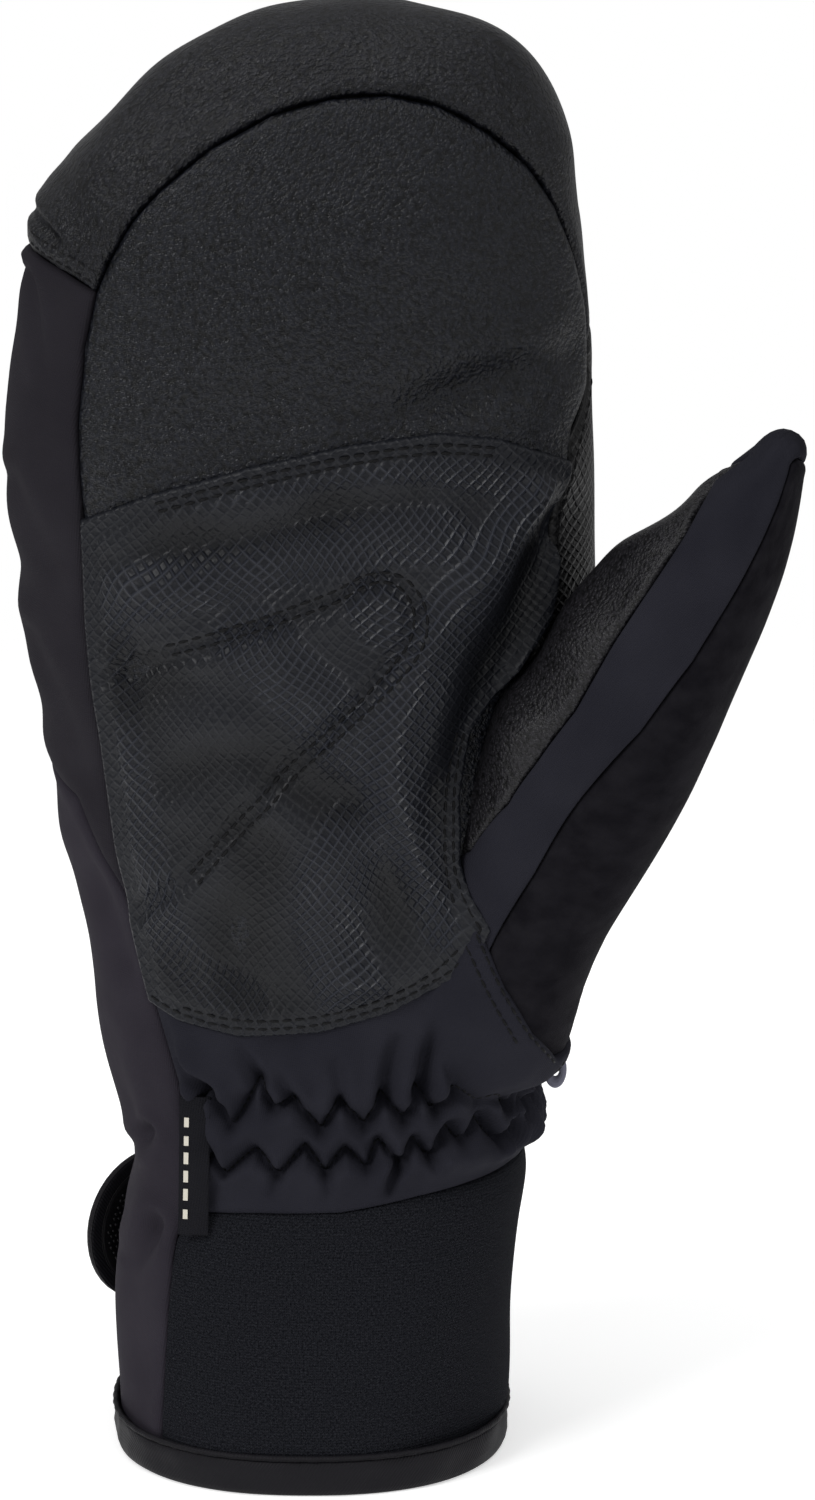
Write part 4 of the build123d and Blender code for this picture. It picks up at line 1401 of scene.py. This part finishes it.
topLine, rightLine, footLine = onFront(patchTop), onFront(patchRight[4:]), onFront(patchFoot)
patchStitching = stitches("palm_patch_stitching", landing(sleeve, [patch]),
                          [beside(topLine, -1.7)[1:-1], beside(topLine, -3.2)[1:-1],
                           beside(rightLine, -1.6), beside(rightLine, -3.2)[:-1],
                           beside(footLine, -1.6), beside(footLine, -3.2)[1:-1],
                           onFront(hookLine)[1:-1], beside(onFront(hookLine), 2.1)[1:-1]],
                          threadDark.mat, radius=0.32)
wrapLines = [onFront([(-39, 236.5), (-46, 240), (-51, 242)]),
             onFront([(-38, 238.5), (-45, 242), (-50.5, 244)])]
fingerStitching = stitches("fingertip_seam_stitching", landing(sleeve, [wrap]), wrapLines, threadDark.mat)
indexStitching = stitches("index_edge_stitching", landing(sleeve, [index]),
                          [beside(onFront(indexEdge), 1.6)[1:-2]], threadDark.mat)
heelEdge = sleeve.flat(np.array(heelSide, float))
onHeel = landing(sleeve, [heel])
heelStitching = stitches("thumb_seam_stitching", onHeel,
                         [beside(heelEdge, -1.0), beside(heelEdge, -3.1)[:-1]], threadDark.mat, pitch=2.2,
                         radius=0.3)
gatherStitching = stitches("wrist_zigzag_stitching", onHeel, [topRow[:-2], bottomRow[:-2]], threadDark.mat,
                           pitch=1.6, length=1.3, radius=0.26, rounding=0)
webStitch = {"pitch": 2.2, "length": 1.7, "radius": 0.25, "rounding": 0}
low, high = strap["low"] + 2, strap["high"] - 2
tabRows = [inStrap(tabLength - 1.9, 1.9, 1.2), [(1.8, low), (1.8, high)], [(9.0, low), (9.0, high)]]
tabFace = landingOnBand(tabPath, strap["tabLift"] + strap["thick"] + 0.1)
tabStitching = stitches("strap_tab_stitching", tabFace, tabRows, webThread.mat, **webStitch)
left, right = 2.0, anchorLength - 2.0
anchorRows = [[(left, low), (right, low), (right, high), (left, high), (left, low)]]
anchorFace = landingOnBand(anchorPath, strap["anchorLift"] + strap["thick"] + 0.05)
anchorStitching = stitches("strap_anchor_stitching", anchorFace, anchorRows, webThread.mat, **webStitch)
print("stitched")

# Bodies: the finger and thumb pieces are baked in place, and the rest are attached to the hand, tab and label
# bodies.
fingerThings = [fingerPanel, wrap, gusset, back, index, patch, palm, insulation, membrane, lining,
                patchStitching, fingerStitching, indexStitching]
thumbThings = [thumbLeatherPanel, stripPanel, suedePanel, thumbInsulation, thumbMembrane, thumbLining]
handThings = [side, heel, cuff, backCuff, hemBinding, hemPiping, cuffLining, elastic, anchor, loop, nub,
              heelStitching, gatherStitching, anchorStitching]
tabThings = [tab, rim, hookBed, hooks, tabStitching]
labelThings = [labelObj, labelDashes]
for obj in fingerThings:
    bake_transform(obj)
for obj in thumbThings:
    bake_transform(obj)
for obj in handThings:
    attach(obj, "hand")
for obj in tabThings:
    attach(obj, "tab")
for obj in labelThings:
    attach(obj, "label")

stands = {fingerPanel: ["finger_palm_panel"], wrap: ["fingertip_wrap"],
          gusset: ["pinky_gusset", "pinky_palm_gusset"], back: ["finger_back_panel", "back_hand_panel"],
          index: ["index_gusset", "index_side_panel"], patch: ["palm_patch"], palm: ["palm_base_panel"],
          side: ["side_panel"], heel: ["heel_panel"], cuff: ["cuff_panel"], hemBinding: ["hem_binding"],
          cuffLining: ["cuff_lining"], elastic: ["wrist_elastic"], anchor: ["strap_anchor"],
          loop: ["loop_patch"], tab: ["strap_tab"], hookBed: ["hook_patch"], labelObj: ["seam_label"],
          insulation: ["hand_insulation", "finger_insulation"],
          membrane: ["hand_membrane", "finger_membrane"], lining: ["hand_lining", "finger_lining"],
          thumbLeatherPanel: ["thumb_palm_panel"], stripPanel: ["thumb_gusset"],
          suedePanel: ["thumb_back_panel"], thumbInsulation: ["thumb_insulation"],
          thumbMembrane: ["thumb_membrane"], thumbLining: ["thumb_lining"]}
for obj, nodes in stands.items():
    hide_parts(*nodes)
print("bodies set")

# Floor, lamps, camera
bpy.ops.mesh.primitive_plane_add(size=12)
floor = bpy.context.object
floor.name = "Floor"
floorWhite = Nodes("FloorWhite", (0.9, 0.9, 0.9), 0.9, 0.1)
settings(floorWhite.bsdf, {"Emission Color": (1, 1, 1, 1), "Emission Strength": 0.46})
# the floor fades into the white behind it away from the mitten
where = floorWhite.add("ShaderNodeTexCoord")
away = floorWhite.add("ShaderNodeVectorMath", operation="LENGTH")
fade = floorWhite.add("ShaderNodeMapRange", interpolation_type="SMOOTHSTEP")
settings(fade, {"From Min": 0.3, "From Max": 0.7})
clear = floorWhite.add("ShaderNodeBsdfTransparent")
mix = floorWhite.add("ShaderNodeMixShader")
floorWhite.link(where.outputs["Object"], away.inputs[0])
floorWhite.link(away.outputs["Value"], fade.inputs["Value"])
floorWhite.link(fade.outputs[0], mix.inputs[0])
floorWhite.link(floorWhite.bsdf.outputs[0], mix.inputs[1])
floorWhite.link(clear.outputs[0], mix.inputs[2])
floorWhite.link(mix.outputs[0], floorWhite.tree.nodes["Material Output"].inputs["Surface"])
floor.data.materials.append(floorWhite.mat)
world = bpy.data.worlds.new("Studio")
bpy.context.scene.world = world
world.use_nodes = True
tree = world.node_tree
room, seen = tree.nodes["Background"], tree.nodes.new("ShaderNodeBackground")
for node, strength in ((room, 0.35), (seen, 1.0)):
    settings(node, {"Color": (1, 1, 1, 1), "Strength": strength})
path = tree.nodes.new("ShaderNodeLightPath")
mix = tree.nodes.new("ShaderNodeMixShader")
tree.links.new(path.outputs["Is Camera Ray"], mix.inputs[0])
tree.links.new(room.outputs[0], mix.inputs[1])
tree.links.new(seen.outputs[0], mix.inputs[2])
tree.links.new(mix.outputs[0], tree.nodes["World Output"].inputs["Surface"])


def lamp(name, place, aim, size, watts):
    data = bpy.data.lights.new(name, "AREA")
    data.size = size
    data.energy = watts
    obj = bpy.data.objects.new(name, data)
    bpy.context.scene.collection.objects.link(obj)
    obj.location = place
    obj.rotation_euler = (Vector(aim) - Vector(place)).to_track_quat("-Z", "Y").to_euler()
    return obj


lamp("KeyLeft", (-1.0, -0.9, 1.1), (0, 0, 0.15), 0.7, 13)
lamp("FillRight", (1.1, -0.8, 0.8), (0, 0, 0.15), 0.8, 4)
lamp("TopSoft", (0.0, -0.1, 1.4), (0, 0, 0), 1.2, 6)

camera = bpy.data.cameras.new("Camera")
cameraObj = bpy.data.objects.new("Camera", camera)
bpy.context.scene.collection.objects.link(cameraObj)
cameraObj.location = (0.0183, -1.1591, 0.4494)
cameraObj.rotation_euler = (math.radians(75), 0, 0)
camera.lens = 150.3
camera.sensor_width = 36
camera.clip_end = 30
bpy.context.scene.camera = cameraObj
bpy.context.scene.view_settings.view_transform = "Standard"
